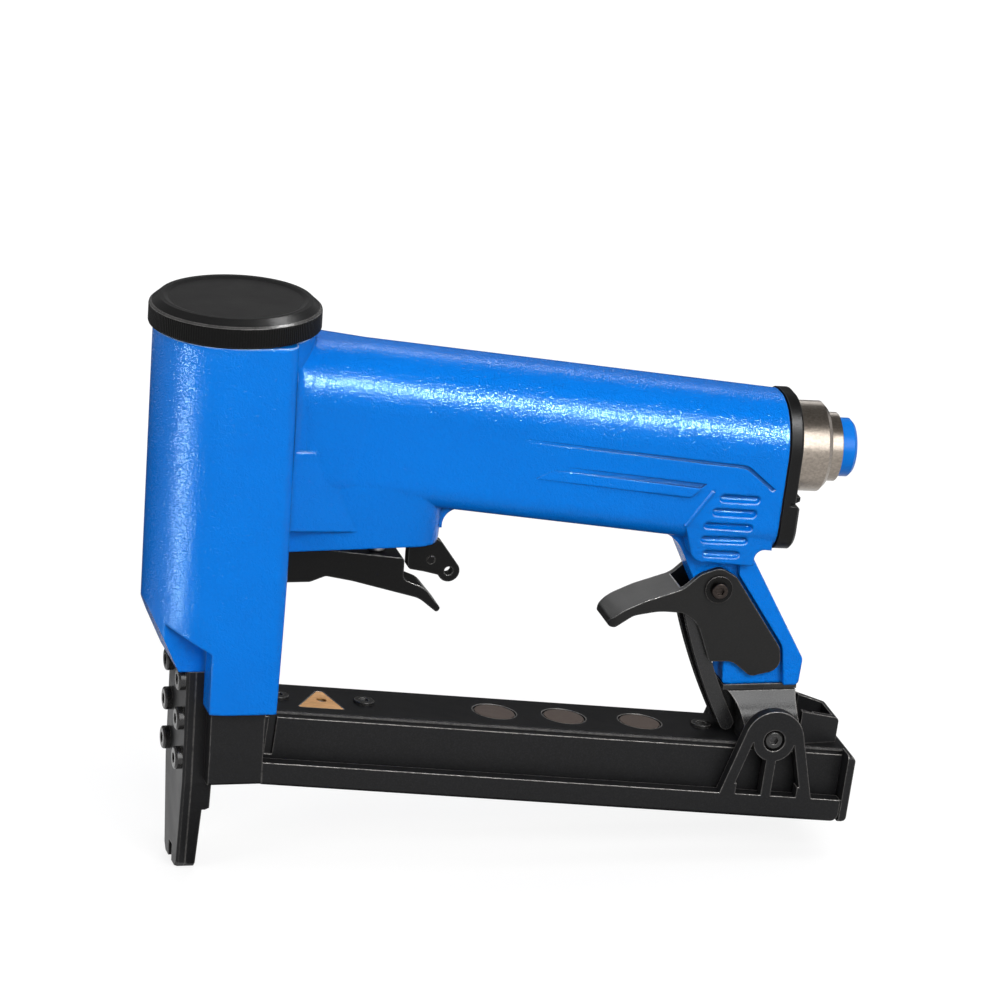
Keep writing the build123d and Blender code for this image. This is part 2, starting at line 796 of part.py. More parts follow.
def nose_guide():
    face = nose_outline(nose_height)
    body = Pos(-channel_depth, 0, 0) * extrude(face, nose_depth)
    step = outline([
        (nose_step_depth - channel_depth, nose_step_height), (nose_tip_depth - channel_depth, -past),
        (nose_rear + past, -past), (nose_rear + past, nose_step_height + nose_corner),
        (nose_rear - nose_corner + 0.4, nose_step_height)])
    body -= extrude(step, nose_half + past, both=True)
    body -= block((-channel_depth - past, -channel_y, -past), (channel_depth, channel_y, nose_height + past))
    body -= magazine * block((-nose_depth, -channel_half, tray_base + tray_floor),
                             (mag_head_rear, channel_half, -slide_roof))
    for y, z in nose_screw_places():
        body -= Pos(0, y, z) * Rot(0, 90, 0) * Cylinder(screw_radius + seat, 2 * nose_step_depth)
    return body


def nose_screws():
    grip = nose_plate_thick + nose_step_depth - channel_depth
    one = screw(nose_head_radius, nose_head_height, screw_radius, grip)
    return [Pos(nose_front, y, z) * Rot(0, -90, 0) * one for y, z in nose_screw_places()]


# Block that carries the front of the magazine under the head
def magazine_head():
    half, low_half = mag_head_half, mag_head_low_half
    face = Plane.YZ * make_face(FilletPolyline(
        (-half, head_base), (-half, mag_head_crease), (-low_half, mag_head_base),
        (low_half, mag_head_base), (half, mag_head_crease), (half, head_base),
        radius=[0, 0, 1.2, 1.2, 0, 0], close=True))
    body = Pos(mag_head_front, 0, 0) * extrude(face, mag_head_rear - mag_head_front)
    body -= block((mag_head_front - past, -nose_half - seat, mag_head_base - past),
                  (nose_rear, nose_half + seat, head_base + past))
    body -= magazine * block((-past, -channel_half, tray_base + tray_floor),
                             (mag_head_rear + 2 * past, channel_half, -slide_roof))
    return body


# Ear outline in the magazine's frame: an arch on spread legs, with a boss and a rib between
def ear_face():
    foot = tray_edge - bolt_w
    arch = list((Circle(ear_radius)).edges())
    arch += [Line((-ear_spread, foot), (ear_spread, foot)).edge()]
    outer = make_hull(arch)
    window = offset(outer, -ear_rim)
    window -= Circle(ear_boss)
    window -= Pos(0, foot / 2) * Rectangle(ear_rib, -foot)
    sill = Pos(0, foot - ear_rim) * Rectangle(4 * ear_spread, 2 * ear_rim)
    return outer - (window + Pos(0, foot + ear_rim / 2) * window_sill(foot) - sill)


# Stretch of each window that runs down to the tray's edge
def window_sill(foot):
    run = ear_spread - ear_rim * 1.5
    bar = Rectangle(2 * run, ear_rim)
    return bar - Rectangle(ear_rib, 2 * ear_rim)


def magazine_tray():
    length = tray_end
    face = Plane.YZ * make_face(FilletPolyline(
        (-tray_half, tray_edge), (-tray_half, tray_base), (tray_half, tray_base), (tray_half, tray_edge),
        (tray_half - tray_wall, tray_edge), (tray_half - tray_wall, tray_base + tray_floor),
        (-tray_half + tray_wall, tray_base + tray_floor), (-tray_half + tray_wall, tray_edge),
        radius=[0, 1.2, 1.2, 0, 0, 0, 0, 0], close=True))
    channel = Pos(mag_head_front, 0, 0) * extrude(face, length - mag_head_front)
    round_off = outline(
        [(0, tray_base), (length, tray_base), (length, bolt_w), (0, bolt_w)], [0, tray_round, 0, 0])
    channel = channel & extrude(round_off, tray_half, both=True)
    ear = Pos(bolt_u, 0, bolt_w) * (Plane.XZ * ear_face())
    for side in (-1, 1):
        channel += plate(ear, tray_half - ear_thick, tray_half, side)
        hole = Pos(bolt_u, side * (tray_half - counterbore_depth / 2), bolt_w) * Rot(90, 0, 0)
        channel -= hole * Cylinder(counterbore_radius, counterbore_depth)
        channel -= hole * Cylinder(bolt_radius + seat, 4 * ear_thick)
    body = magazine * channel
    return body - block((-mag_head_rear, -2 * tray_half, 0), (mag_head_rear, 2 * tray_half, head_base))


def ear_bolts():
    one = screw(cap_head_radius, cap_head_height, bolt_radius, bolt_length)
    bolts = []
    for side in (-1, 1):
        seat_y = side * (tray_half - counterbore_depth)
        bolts.append(magazine * Pos(bolt_u, seat_y, bolt_w) * Rot(-side * 90, 0, 0) * one)
    return bolts


# Saddle: a hub between the ears, drawn in to the leg's foot
def saddle():
    hub_x, hub_z = bolt_place.X, bolt_place.Z
    hub_left = hub_x - hub_radius
    hub_right = hub_x + hub_radius
    line = Polyline((hub_left, 0), (hub_right, 0), (hub_right, saddle_top), (saddle_front, saddle_top))
    flank = ThreePointArc(
        (saddle_front, saddle_top), (hub_left - 0.6, (saddle_top + hub_z) / 2 + 1.5), (hub_left, hub_z))
    face = Plane.XZ * make_face(line + flank + Line((hub_left, hub_z), (hub_left, 0)))
    waist = (saddle_half + saddle_top_half) / 2 - 1.6
    bend = hub_z + hub_radius * 0.4
    waist_z = (bend + saddle_top) / 2 + 0.8
    flare = ThreePointArc((saddle_half, bend), (waist, waist_z), (saddle_top_half, saddle_top))
    right = [Line((saddle_half, 0), (saddle_half, bend)), flare]
    left = [edge.mirror(Plane.YZ) for edge in right]
    rim = right + [Line((saddle_top_half, saddle_top), (-saddle_top_half, saddle_top))] + left
    rim += [Line((-saddle_half, 0), (saddle_half, 0))]
    cross = Plane.YZ * make_face(rim)
    body = extrude(face, saddle_half, both=True) & extrude(cross, 2 * hub_x)
    body -= magazine * block((0, -tray_half, tray_base * 3), (2 * bolt_u, tray_half, slide_clear))
    body -= magazine * block((0, -saddle_channel_half, 0),
                             (2 * bolt_u, saddle_channel_half, saddle_channel_height))
    body -= magazine * Pos(bolt_u, 0, bolt_w) * Rot(90, 0, 0) * Cylinder(bolt_radius + seat, 4 * saddle_half)
    return body - upright(stud_x, stud_radius + seat, saddle_top - stud_grip, saddle_top + past)


def foot_plate():
    slab = block((leg_front, -foot_half, saddle_top), (leg_rear, foot_half, leg_base))
    return slab - upright(stud_x, stud_radius + seat, saddle_top - past, leg_base + past)


def saddle_stud():
    return upright(stud_x, stud_radius, saddle_top - stud_grip + seat, leg_base + stud_grip - seat)


# Rail that the staples straddle: a hollow bar with a slot for the pusher's tab
def staple_rail():
    floor = tray_base + tray_floor
    bar = block((0, -rail_half, floor), (rail_end, rail_half, rail_top))
    inner = rail_half - rail_wall
    bar -= block((-past, -inner, floor - past), (rail_end + past, inner, rail_top - rail_wall))
    bar -= block((rail_slot_start, -rail_slot_half, floor),
                 (rail_end - past, rail_slot_half, rail_top + past))
    bar -= Pos(roll_u, 0, roll_w) * Rot(90, 0, 0) * Cylinder(roll_core + seat, 4 * rail_half)
    return magazine * bar - block((-nose_depth, -tray_half, 0), (rail_front, tray_half, head_base))


def feed_spring():
    roll = Cylinder(roll_radius, 2 * (rail_half - rail_wall - side_gap))
    roll -= Cylinder(roll_core + seat, 4 * rail_half)
    strip_start = roll_w + roll_radius - strip_thick
    strip = block((roll_u, -rail_slot_half, strip_start),
                  (tab_u(), rail_slot_half, strip_start + strip_thick))
    return magazine * (Pos(roll_u, 0, roll_w) * Rot(90, 0, 0) * roll + strip)


def feed_arbor():
    return magazine * Pos(roll_u, 0, roll_w) * Rot(90, 0, 0) * Cylinder(roll_core, 2 * rail_half)


# Front of the pusher's tab along the magazine
def tab_u():
    return pusher_front + pusher_length - 2.5


def pusher():
    outer = channel_half - pusher_side_gap
    top = rail_top + running + pusher_cover
    inner = rail_half + running
    body = block((pusher_front, -outer, -pusher_depth), (pusher_front + pusher_length, outer, top))
    body -= block((pusher_front - past, -inner, -pusher_depth - past),
                  (pusher_front + pusher_length + past, inner, rail_top + running))
    tab = block((tab_u() + side_gap, -rail_slot_half + running, roll_w + roll_radius - 2 * strip_thick),
                (pusher_front + pusher_length, rail_slot_half - running, top))
    return magazine * (body + tab)


# Slide: the top cover of the magazine, with its end plate and the seats of its trim
def magazine_slide():
    face = Plane.YZ * make_face(FilletPolyline(
        (-slide_half, -slide_depth), (-slide_half, 0), (slide_half, 0), (slide_half, -slide_depth),
        (channel_half, -slide_depth), (channel_half, -slide_roof), (-channel_half, -slide_roof),
        (-channel_half, -slide_depth), radius=[0, 0.8, 0.8, 0, 0, 0, 0, 0], close=True))
    plate_start = tray_end + side_gap
    body = Pos(slide_front, 0, 0) * extrude(face, plate_start - slide_front)
    height = -tray_base
    end_face = Plane.YZ * Pos(0, tray_base / 2) * RectangleRounded(2 * tray_half, height, 1.5)
    end = Pos(plate_start, 0, 0) * extrude(end_face, end_plate_thick)
    plate_end = plate_start + end_plate_thick
    end_side = outline(
        [(0, tray_base), (plate_end, tray_base), (plate_end, 0), (0, 0)],
        [0, end_plate_thick * 0.85, end_plate_thick * 0.85, 0])
    body += end & extrude(end_side, tray_half, both=True)
    groove_end = slide_groove_start + slide_groove_width
    groove_low = past - slide_depth
    groove = outline([
        (slide_groove_start, groove_low), (groove_end, groove_low),
        (groove_end, -past), (slide_groove_start, -past)])
    for side in (-1, 1):
        body -= plate(groove, slide_half - slide_groove_depth, slide_half + past, side)
        ledge_y = side * (slide_half - slide_groove_depth / 2)
        body -= Pos((slide_front + plate_start) / 2, ledge_y, -slide_lip - slide_ledge / 2) * Box(
            plate_start - slide_front, slide_groove_depth, slide_ledge)
    for u in window_places:
        body -= upright(u, window_radius + seat, -window_thick, past)
        body -= upright(u, window_radius + window_rim, -window_rim, past)
    for u in slide_screws_u:
        body -= upright(u, screw_radius + seat, -slide_roof - past, past)
    body -= Pos(inlay_u, 0, -inlay_thick) * extrude(inlay_face(seat), past)
    body -= upright(inlay_hole_u, inlay_hole, -slide_roof - past, past)
    return magazine * body


def view_windows():
    return [magazine * upright(u, window_radius, -window_thick, -0.1) for u in window_places]


# Outline of the inlay: a plate that narrows to one side, grown by a clearance
def inlay_face(clear):
    long_half = inlay_length / 2 + clear
    short_half = inlay_short / 2 + clear
    across = inlay_width / 2 + clear
    return make_face(FilletPolyline(
        (-long_half, -across), (long_half, -across), (inlay_lean + short_half, across),
        (inlay_lean - short_half, across), radius=0.6, close=True))


def brass_inlay():
    inlay = Pos(inlay_u, 0, -inlay_thick) * extrude(inlay_face(0.0), inlay_thick - 0.05)
    return magazine * (inlay - upright(inlay_hole_u, inlay_hole, -slide_roof - past, past))


def slide_screws():
    one = screw(button_head_radius, button_head_height, screw_radius, slide_roof - side_gap)
    return [magazine * Pos(u, 0, 0) * one for u in slide_screws_u]


# Pull at the rear of the slide: a hollow wedge, open on top
def slide_tail():
    plan = make_face(Polyline(
        (tail_front, -tail_half), (tail_rear, -tail_rear_half),
        (tail_rear, tail_rear_half), (tail_front, tail_half), close=True))
    inside = offset(plan, -tail_wall)
    body = extrude(plan, tail_front_height) - extrude(Pos(0, 0, tail_floor) * inside, tail_front_height)
    body -= block((tail_front - past, -tail_half + tail_wall, tail_front_height / 2),
                  (tail_front + tail_wall + past, tail_half - tail_wall, tail_front_height + past))
    side = outline(
        [(tail_front, 0), (tail_rear, 0), (tail_rear, tail_rear_height), (tail_front, tail_front_height)],
        [0, 0, 1.5, 0])
    return magazine * (body & extrude(side, tail_half, both=True))


# End cap and its gasket close the handle
def end_gasket():
    ring = end_plane * handle_section(-end_cap_lip, -end_cap_lip, -end_cap_lip)
    body = extrude(ring, end_gasket_thick)
    return body - extrude(fitting_axis * Circle(reservoir_radius), 2 * end_gasket_thick, both=True)


def end_cap():
    face = handle_section(end_cap_lip, end_cap_lip, end_cap_lip)
    body = extrude(face, end_cap_thick)
    body = fillet(body.faces().sort_by(Axis.Z)[-1].edges(), 0.8)
    seam = -handle_height / 2 + seam_height
    lower = Pos(0, seam - seam_width - handle_height / 2) * Rectangle(4 * crown_half, handle_height)
    foot = extrude(face & lower, end_block_thick)
    body += chamfer(foot.faces().sort_by(Axis.Z)[-1].edges(), 0.8)
    groove = Pos(0, seam - seam_width / 2, end_cap_thick) * Box(4 * crown_half, seam_width, end_cap_thick)
    body -= groove - Box(2 * (grip_half - seam_width), handle_height, 4 * end_cap_thick)
    lip_top = seam - seam_width
    lip = Plane.YZ * make_face(Polyline(
        (lip_top, end_cap_thick), (lip_top, end_block_thick + lip_reach),
        (lip_top - seam_width, end_block_thick + lip_reach), (lip_top - 2.2 * seam_width, end_block_thick),
        (lip_top - 2.2 * seam_width, end_cap_thick), close=True))
    body = end_plane.offset(end_gasket_thick) * (body + extrude(lip, lip_half, both=True))
    return body - extrude(fitting_axis * Circle(thread_radius + seat), 3 * end_block_thick, both=True)


# Turned piece on the fitting's axis, from radius and length pairs
def fitting_turn(points):
    turned = revolve(Plane.XZ * make_face(Polyline(*points, close=True)), Axis.Z)
    return fitting_axis * Pos(0, 0, end_gasket_thick + end_cap_thick) * turned


def inlet_fitting():
    inner = collar_radius + running
    rim = fitting_radius - fitting_chamfer
    return fitting_turn([
        (flow_radius, -end_cap_thick), (thread_radius, -end_cap_thick), (thread_radius, 0),
        (fitting_radius, 0), (fitting_radius, fitting_length - fitting_chamfer), (rim, fitting_length),
        (ring_radius, fitting_length), (ring_radius, fitting_shoulder), (inner, fitting_shoulder),
        (inner, seal_base), (flow_radius, seal_base)])


def hose_seal():
    inner = hose_radius + hose_grip
    outer = collar_radius - seat
    return fitting_turn([(inner, seal_base), (outer, seal_base), (outer, seal_top), (inner, seal_top)])


def release_collar():
    low = fitting_shoulder - collar_depth
    high = fitting_shoulder + collar_reach
    return fitting_turn([
        (collar_bore, low), (collar_radius, low), (collar_radius, high - 1.0), (collar_radius - 1.0, high),
        (collar_bore + 0.8, high), (collar_bore, high - 0.8)])


def trigger():
    front = trigger_front
    rear = trigger_rear
    run, drop, sole = trigger_tail, trigger_tail_drop, trigger_sole
    tail = [(rear, sole), (rear + 0.55 * run, sole - 0.3 * drop), (rear + run, sole - drop)]
    tail += [(rear + 0.91 * run, sole - 1.16 * drop), (rear + 0.43 * run, sole - 0.65 * drop)]
    toe = [(front + 0.57 * trigger_length, sole), (front + 0.35 * trigger_length, sole + trigger_arch)]
    toe += [(front + 0.22 * trigger_length, sole), (front, sole)]
    shares = [0.4, 0.5, 1.1, 3.0, 0.42, 0.42, 4.0, 6.0, 1.0, 1.0, 0.4]
    face = outline(
        [(front, trigger_top_front), (rear, trigger_top_rear)] + tail + toe,
        [share * trigger_round for share in shares])
    body = extrude(face, trigger_half, both=True)
    body += crosswise(trigger_pin_x, trigger_pin_z, trigger_lug, trigger_half)
    body += block((trigger_pin_x - trigger_lug, -trigger_half, trigger_top_front - trigger_lug),
                  (trigger_pin_x + trigger_lug, trigger_half, trigger_pin_z))
    return body - crosswise(trigger_pin_x, trigger_pin_z, trigger_pin_radius + running, 2 * trigger_half)


def trigger_pin():
    return crosswise(trigger_pin_x, trigger_pin_z, trigger_pin_radius, trigger_pin_half)


def trigger_valve():
    body = upright(valve_x, valve_radius - seat, valve_base, valve_top)
    body -= upright(valve_x, stem_radius + running, valve_base - past, valve_top)
    chamber_low = valve_base + valve_guide
    body -= upright(valve_x, valve_radius - valve_wall, chamber_low, valve_top - valve_wall)
    return body - upright(valve_x, stem_radius * 0.7, valve_base, valve_top + past)


def valve_stem():
    flange_top = stem_flange_z + stem_flange_thick
    return upright(valve_x, stem_radius, valve_stem_base, flange_top) + upright(
        valve_x, stem_flange, stem_flange_z, flange_top)


# Coil of round wire on the Z axis, standing on the XY plane
def coil(radius, wire, pitch, turns):
    path = Helix(pitch, pitch * turns, radius)
    start = Plane(origin=path @ 0, z_dir=path % 0)
    return sweep(start * Circle(wire), path)


def valve_spring():
    low = stem_flange_z + stem_flange_thick + spring_wire + seat
    high = valve_top - valve_wall - spring_wire - seat
    pitch = (high - low) / spring_turns
    return Pos(valve_x, 0, low) * coil(stem_radius + spring_wire, spring_wire, pitch, spring_turns)


# Rear tab: a plate with an eye, held by its tenon in the boss
def trigger_tab():
    tenon = tab_tenon(0.0)
    front = trigger_rear + tab_gap
    eye = tab_eye_radius
    neck = outline(
        [(front, tab_eye_z + 1.45 * eye), (front, tab_eye_z + 0.3 * eye), (tab_pin_x - tab_half, tab_eye_z),
         (tab_eye_x, tab_eye_z - 0.6 * eye), (tab_eye_x + 0.88 * eye, tab_eye_z + 0.48 * eye),
         (tab_eye_x - 0.68 * eye, boss_base - tab_half), (boss_rear - tab_half / 2, boss_base),
         (front + side_gap, boss_base)],
        [0.4 * eye, 0.4 * eye, 0.6 * eye, 0, 0, 0.6 * eye, 0, 0])
    face = neck + tenon + Plane.XZ * Pos(tab_eye_x, tab_eye_z) * Circle(tab_eye_radius)
    face -= Plane.XZ * Pos(tab_eye_x, tab_eye_z) * Circle(tab_eye_hole)
    face -= Plane.XZ * Pos(tab_pin_x, tab_pin_z) * Circle(tab_pin_radius + seat)
    return extrude(face, tab_half, both=True)


def tab_pin():
    return crosswise(tab_pin_x, tab_pin_z, tab_pin_radius, tab_half + side_gap)


# Side outline of the lever in shares of its reach: the finger bar, the rear lobe, the hub and the bar's top
def lever_outline():
    bar = [(-1.024, -0.344), (-0.955, -0.347), (-0.782, -0.236), (-0.54, -0.2), (-0.309, -0.222)]
    lobe = [(-0.173, -0.327), (-0.043, -0.698), (0.173, -0.698)]
    lobe += [(0.358, -0.852), (0.642, -0.79), (0.623, -0.586)]
    hub = [(0.167, 0.111), (0.012, 0.204), (-0.173, 0.142)]
    hub += [(-0.327, 0.006), (-0.673, -0.099), (-0.885, -0.19), (-1.0, -0.278)]
    radii = [0.03, 0.05, 0.185, 0.62, 0.155]
    radii += [0.25, 0.046, 0.155, 0.093, 0.123, 0.155]
    radii += [0.123, 0.123, 0.185, 0.25, 0.43, 0.4, 0.08]
    points = [(lever_pivot_x + x * lever_reach, lever_pivot_z + z * lever_reach) for x, z in bar + lobe + hub]
    return points, [radius * lever_reach for radius in radii]


def release_lever():
    points, radii = lever_outline()
    body = extrude(outline(points, radii), lever_half, both=True)
    tip_x = min(x for x, z in points)
    back_x = leg_rear + 2 * past
    corner = 0.11 * lever_reach
    plan = make_face(FilletPolyline(
        (tip_x, -lever_half), (back_x, -lever_half), (back_x, lever_half), (tip_x, lever_half),
        radius=[corner, 0, 0, corner], close=True))
    body &= extrude(plan, head_top)
    moved = [(x + 0.6 * lever_web, z - lever_web) for x, z in points]
    body -= extrude(outline(moved, radii), lever_inner, both=True)
    open_x = lever_pivot_x - 0.34 * lever_reach
    body -= block((open_x, -lever_inner, 0), (back_x, lever_inner, head_top))
    return body - crosswise(lever_pivot_x, lever_pivot_z, pivot_radius + running, 2 * lever_half)


# Latch hook: two curved prongs that reach down to the slide
def latch_hook():
    toe_x = lever_pivot_x + hook_run
    slide_top = (magazine * Pos(toe_x / cos(radians(mag_slope)), 0, 0)).position.Z
    top = (lever_pivot_x - 0.222 * lever_reach, lever_pivot_z - 0.225 * lever_reach)
    middle = (lever_pivot_x - 0.05 * lever_reach, lever_pivot_z - 0.78 * lever_reach)
    toe = (toe_x, slide_top + hook_lift + hook_thick / 2)
    face = Plane.XZ * make_face(offset(ThreePointArc(top, middle, toe), hook_thick / 2))
    return [plate(face, hook_inner, lever_inner, side) for side in (-1, 1)]


def lever_pivot():
    under_head = lever_half + washer_thick
    pivot = crosswise(lever_pivot_x, lever_pivot_z, pivot_radius, under_head)
    one = screw(pivot_head_radius, pivot_head_height, pivot_radius, pivot_radius)
    for side in (-1, 1):
        pivot += Pos(lever_pivot_x, side * under_head, lever_pivot_z) * Rot(-side * 90, 0, 0) * one
    return pivot


def lever_washers():
    thick = washer_thick - side_gap / 2
    ring = Cylinder(washer_radius, thick) - Cylinder(pivot_radius + seat, 2 * thick)
    middle = lever_half + washer_thick - thick / 2
    return [Pos(lever_pivot_x, side * middle, lever_pivot_z) * Rot(90, 0, 0) * ring for side in (-1, 1)]


def lever_spring():
    turn = coil(coil_radius, coil_wire, coil_pitch, coil_turns)
    return Pos(lever_pivot_x, -leg_core_half + coil_wire, lever_pivot_z) * Rot(-90, 0, 0) * turn


pieces = {
    "housing": housing, "head_cap": head_cap, "cap_gasket": cap_gasket, "cylinder_sleeve": cylinder_sleeve,
    "bumper": bumper, "piston": piston, "piston_ring": piston_ring, "blade_pin": blade_pin,
    "driver_blade": driver_blade, "head_valve": head_valve, "nose_front_plate": nose_front_plate,
    "nose_guide": nose_guide, "nose_screws": nose_screws, "magazine_head": magazine_head,
    "magazine_tray": magazine_tray, "ear_bolts": ear_bolts, "saddle": saddle, "foot_plate": foot_plate,
    "saddle_stud": saddle_stud, "staple_rail": staple_rail, "feed_spring": feed_spring,
    "feed_arbor": feed_arbor, "pusher": pusher, "magazine_slide": magazine_slide,
    "view_windows": view_windows, "brass_inlay": brass_inlay, "slide_screws": slide_screws,
    "slide_tail": slide_tail,
    "end_gasket": end_gasket, "end_cap": end_cap, "inlet_fitting": inlet_fitting, "hose_seal": hose_seal,
    "release_collar": release_collar, "trigger": trigger, "trigger_pin": trigger_pin,
    "trigger_valve": trigger_valve, "valve_stem": valve_stem, "valve_spring": valve_spring,
    "trigger_tab": trigger_tab, "tab_pin": tab_pin, "release_lever": release_lever, "latch_hook": latch_hook,
    "lever_pivot": lever_pivot, "lever_washers": lever_washers, "lever_spring": lever_spring,
}

os.makedirs("parts", exist_ok=True)
for name, make in pieces.items():
    made = make()
    solid = Compound(children=made) if isinstance(made, list) else made
    export_step(solid, os.path.join("parts", name + ".step"))
    print(name, round(solid.volume))
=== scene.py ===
import math
import bpy
from mathutils import Matrix, Vector


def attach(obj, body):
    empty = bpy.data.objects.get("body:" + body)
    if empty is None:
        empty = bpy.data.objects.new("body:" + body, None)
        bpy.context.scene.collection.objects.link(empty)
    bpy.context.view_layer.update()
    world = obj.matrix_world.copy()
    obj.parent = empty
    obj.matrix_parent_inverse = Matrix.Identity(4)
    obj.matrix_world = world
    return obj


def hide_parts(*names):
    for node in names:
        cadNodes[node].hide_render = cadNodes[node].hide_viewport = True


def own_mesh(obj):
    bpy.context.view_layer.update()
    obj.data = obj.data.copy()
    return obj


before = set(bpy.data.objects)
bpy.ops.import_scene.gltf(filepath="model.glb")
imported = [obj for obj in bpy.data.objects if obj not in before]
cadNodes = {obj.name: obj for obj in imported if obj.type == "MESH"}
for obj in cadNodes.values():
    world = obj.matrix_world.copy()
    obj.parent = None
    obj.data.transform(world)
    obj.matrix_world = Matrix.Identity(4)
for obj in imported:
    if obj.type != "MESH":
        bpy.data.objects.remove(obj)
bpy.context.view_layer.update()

scene = bpy.context.scene
scene.view_settings.view_transform = "Standard"
print("tacker: frame loaded,", len(cadNodes), "nodes")

# the camera, solved from the photograph's edges
cameraView = {
    "spot": (-0.46753, -2.15781, 0.83287),
    "azimuth": 14.5, "elevation": 18.0, "roll": 3.35,
    "lens": 288.0, "sensor": 36.0, "reach": 50.0,
}


def placeCamera(view):
    turn, tilt, roll = (math.radians(view[key]) for key in ("azimuth", "elevation", "roll"))
    look = Vector((math.sin(turn) * math.cos(tilt), math.cos(turn) * math.cos(tilt), -math.sin(tilt)))
    right = Vector((math.cos(turn), -math.sin(turn), 0.0))
    up = right.cross(look)
    rolledRight = math.cos(roll) * right + math.sin(roll) * up
    rolledUp = math.cos(roll) * up - math.sin(roll) * right
    data = bpy.data.cameras.new("photoCamera")
    data.lens = view["lens"]
    data.sensor_width = view["sensor"]
    data.clip_end = view["reach"]
    camera = bpy.data.objects.new("photoCamera", data)
    matrix = Matrix((rolledRight, rolledUp, -look)).transposed().to_4x4()
    matrix.translation = Vector(view["spot"])
    camera.matrix_world = matrix
    scene.collection.objects.link(camera)
    scene.camera = camera


placeCamera(cameraView)
print("tacker: camera placed")


# small helpers for node trees
def put(tree, kind, **settings):
    node = tree.nodes.new(kind)
    for name, value in settings.items():
        setattr(node, name, value)
    return node


def wire(tree, source, target):
    tree.links.new(source, target)


def feed(tree, socket, value):  # a number, a colour or another node's output
    if isinstance(value, tuple):
        socket.default_value = (*value, 1.0)
    elif isinstance(value, (int, float)):
        socket.default_value = value
    else:
        wire(tree, value, socket)


def mathNode(tree, operation, first, second=None, clamp=False):
    node = put(tree, "ShaderNodeMath", operation=operation, use_clamp=clamp)
    feed(tree, node.inputs[0], first)
    if second is not None:
        feed(tree, node.inputs[1], second)
    return node.outputs[0]


def mapRange(tree, source, low, high, newLow, newHigh):
    node = put(tree, "ShaderNodeMapRange")
    wire(tree, source, node.inputs["Value"])
    for name, value in (("From Min", low), ("From Max", high), ("To Min", newLow), ("To Max", newHigh)):
        node.inputs[name].default_value = value
    return node.outputs["Result"]


def mixColor(tree, factor, first, second):
    node = put(tree, "ShaderNodeMix", data_type="RGBA")
    wire(tree, factor, node.inputs["Factor"])
    feed(tree, node.inputs[6], first)
    feed(tree, node.inputs[7], second)
    return node.outputs[2]


def shaderGroup(name, inputs, outputs):
    tree = bpy.data.node_groups.new(name, "ShaderNodeTree")
    for label, value in inputs.items():
        tree.interface.new_socket(label, in_out="INPUT", socket_type="NodeSocketFloat").default_value = value
    for label in outputs:
        tree.interface.new_socket(label, in_out="OUTPUT", socket_type="NodeSocketFloat")
    return tree, tree.nodes.new("NodeGroupInput").outputs, tree.nodes.new("NodeGroupOutput").inputs


def noise(tree, scale, detail=2.0, roughness=0.5, distortion=0.0, coordinates=None):
    node = put(tree, "ShaderNodeTexNoise")
    wire(tree, coordinates or put(tree, "ShaderNodeTexCoord").outputs["Object"], node.inputs["Vector"])
    settings = {"Scale": scale, "Detail": detail, "Roughness": roughness, "Distortion": distortion}
    for name, value in settings.items():
        feed(tree, node.inputs[name], value)
    return node.outputs["Fac"]


# two values added by their shares
def blendShares(tree, first, share, second):
    return mathNode(tree, "ADD", mathNode(tree, "MULTIPLY", first, share),
                    mathNode(tree, "MULTIPLY", second, 1.0 - share))


# orange-peel skin of sprayed paint: a wormy height, and slow clouds for colour and gloss
pebbleSkin = {"size": 1000.0, "fine": 2200.0, "worm": 1.2, "fineWorm": 0.3, "broadShare": 0.8, "clouds": 22.0}


def makePebbleSkin(look):
    tree, given, out = shaderGroup(
        "pebbleSkin", {"Size": look["size"], "Fine": look["fine"]}, ("Height", "Cloud"))
    broad = noise(tree, given["Size"], detail=1.0, roughness=0.4, distortion=look["worm"])
    fine = noise(tree, given["Fine"], detail=1.0, roughness=0.5, distortion=look["fineWorm"])
    wire(tree, blendShares(tree, broad, look["broadShare"], fine), out["Height"])
    wire(tree, noise(tree, look["clouds"], detail=3.0), out["Cloud"])
    return tree


# bead-blasted grain of blackened metal, with rubbed patches
blastGrain = {"size": 2600.0, "patch": 40.0, "fleck": (0.45, 0.75)}


def makeBlastGrain(look):
    tree, given, out = shaderGroup(
        "blastGrain", {"Size": look["size"], "Patch": look["patch"]}, ("Height", "Fleck", "Rub"))
    grain = noise(tree, given["Size"], detail=3.0, roughness=0.65)
    wire(tree, grain, out["Height"])
    wire(tree, mapRange(tree, grain, *look["fleck"], 0.0, 1.0), out["Fleck"])
    wire(tree, noise(tree, given["Patch"], detail=4.0, roughness=0.6, distortion=0.4), out["Rub"])
    return tree


# bright wear on outer edges that look upwards, on the blue paint also a painted highlight: rays sent inside the
# solid leave it soon beside an outer edge
edgeWear = {"width": 0.0004, "amount": 1.0, "chips": 700.0, "around": 0.2, "open": (0.97, 0.6),
            "chipped": (0.34, 0.56), "leastChip": 0.35, "upward": (0.12, 0.5)}


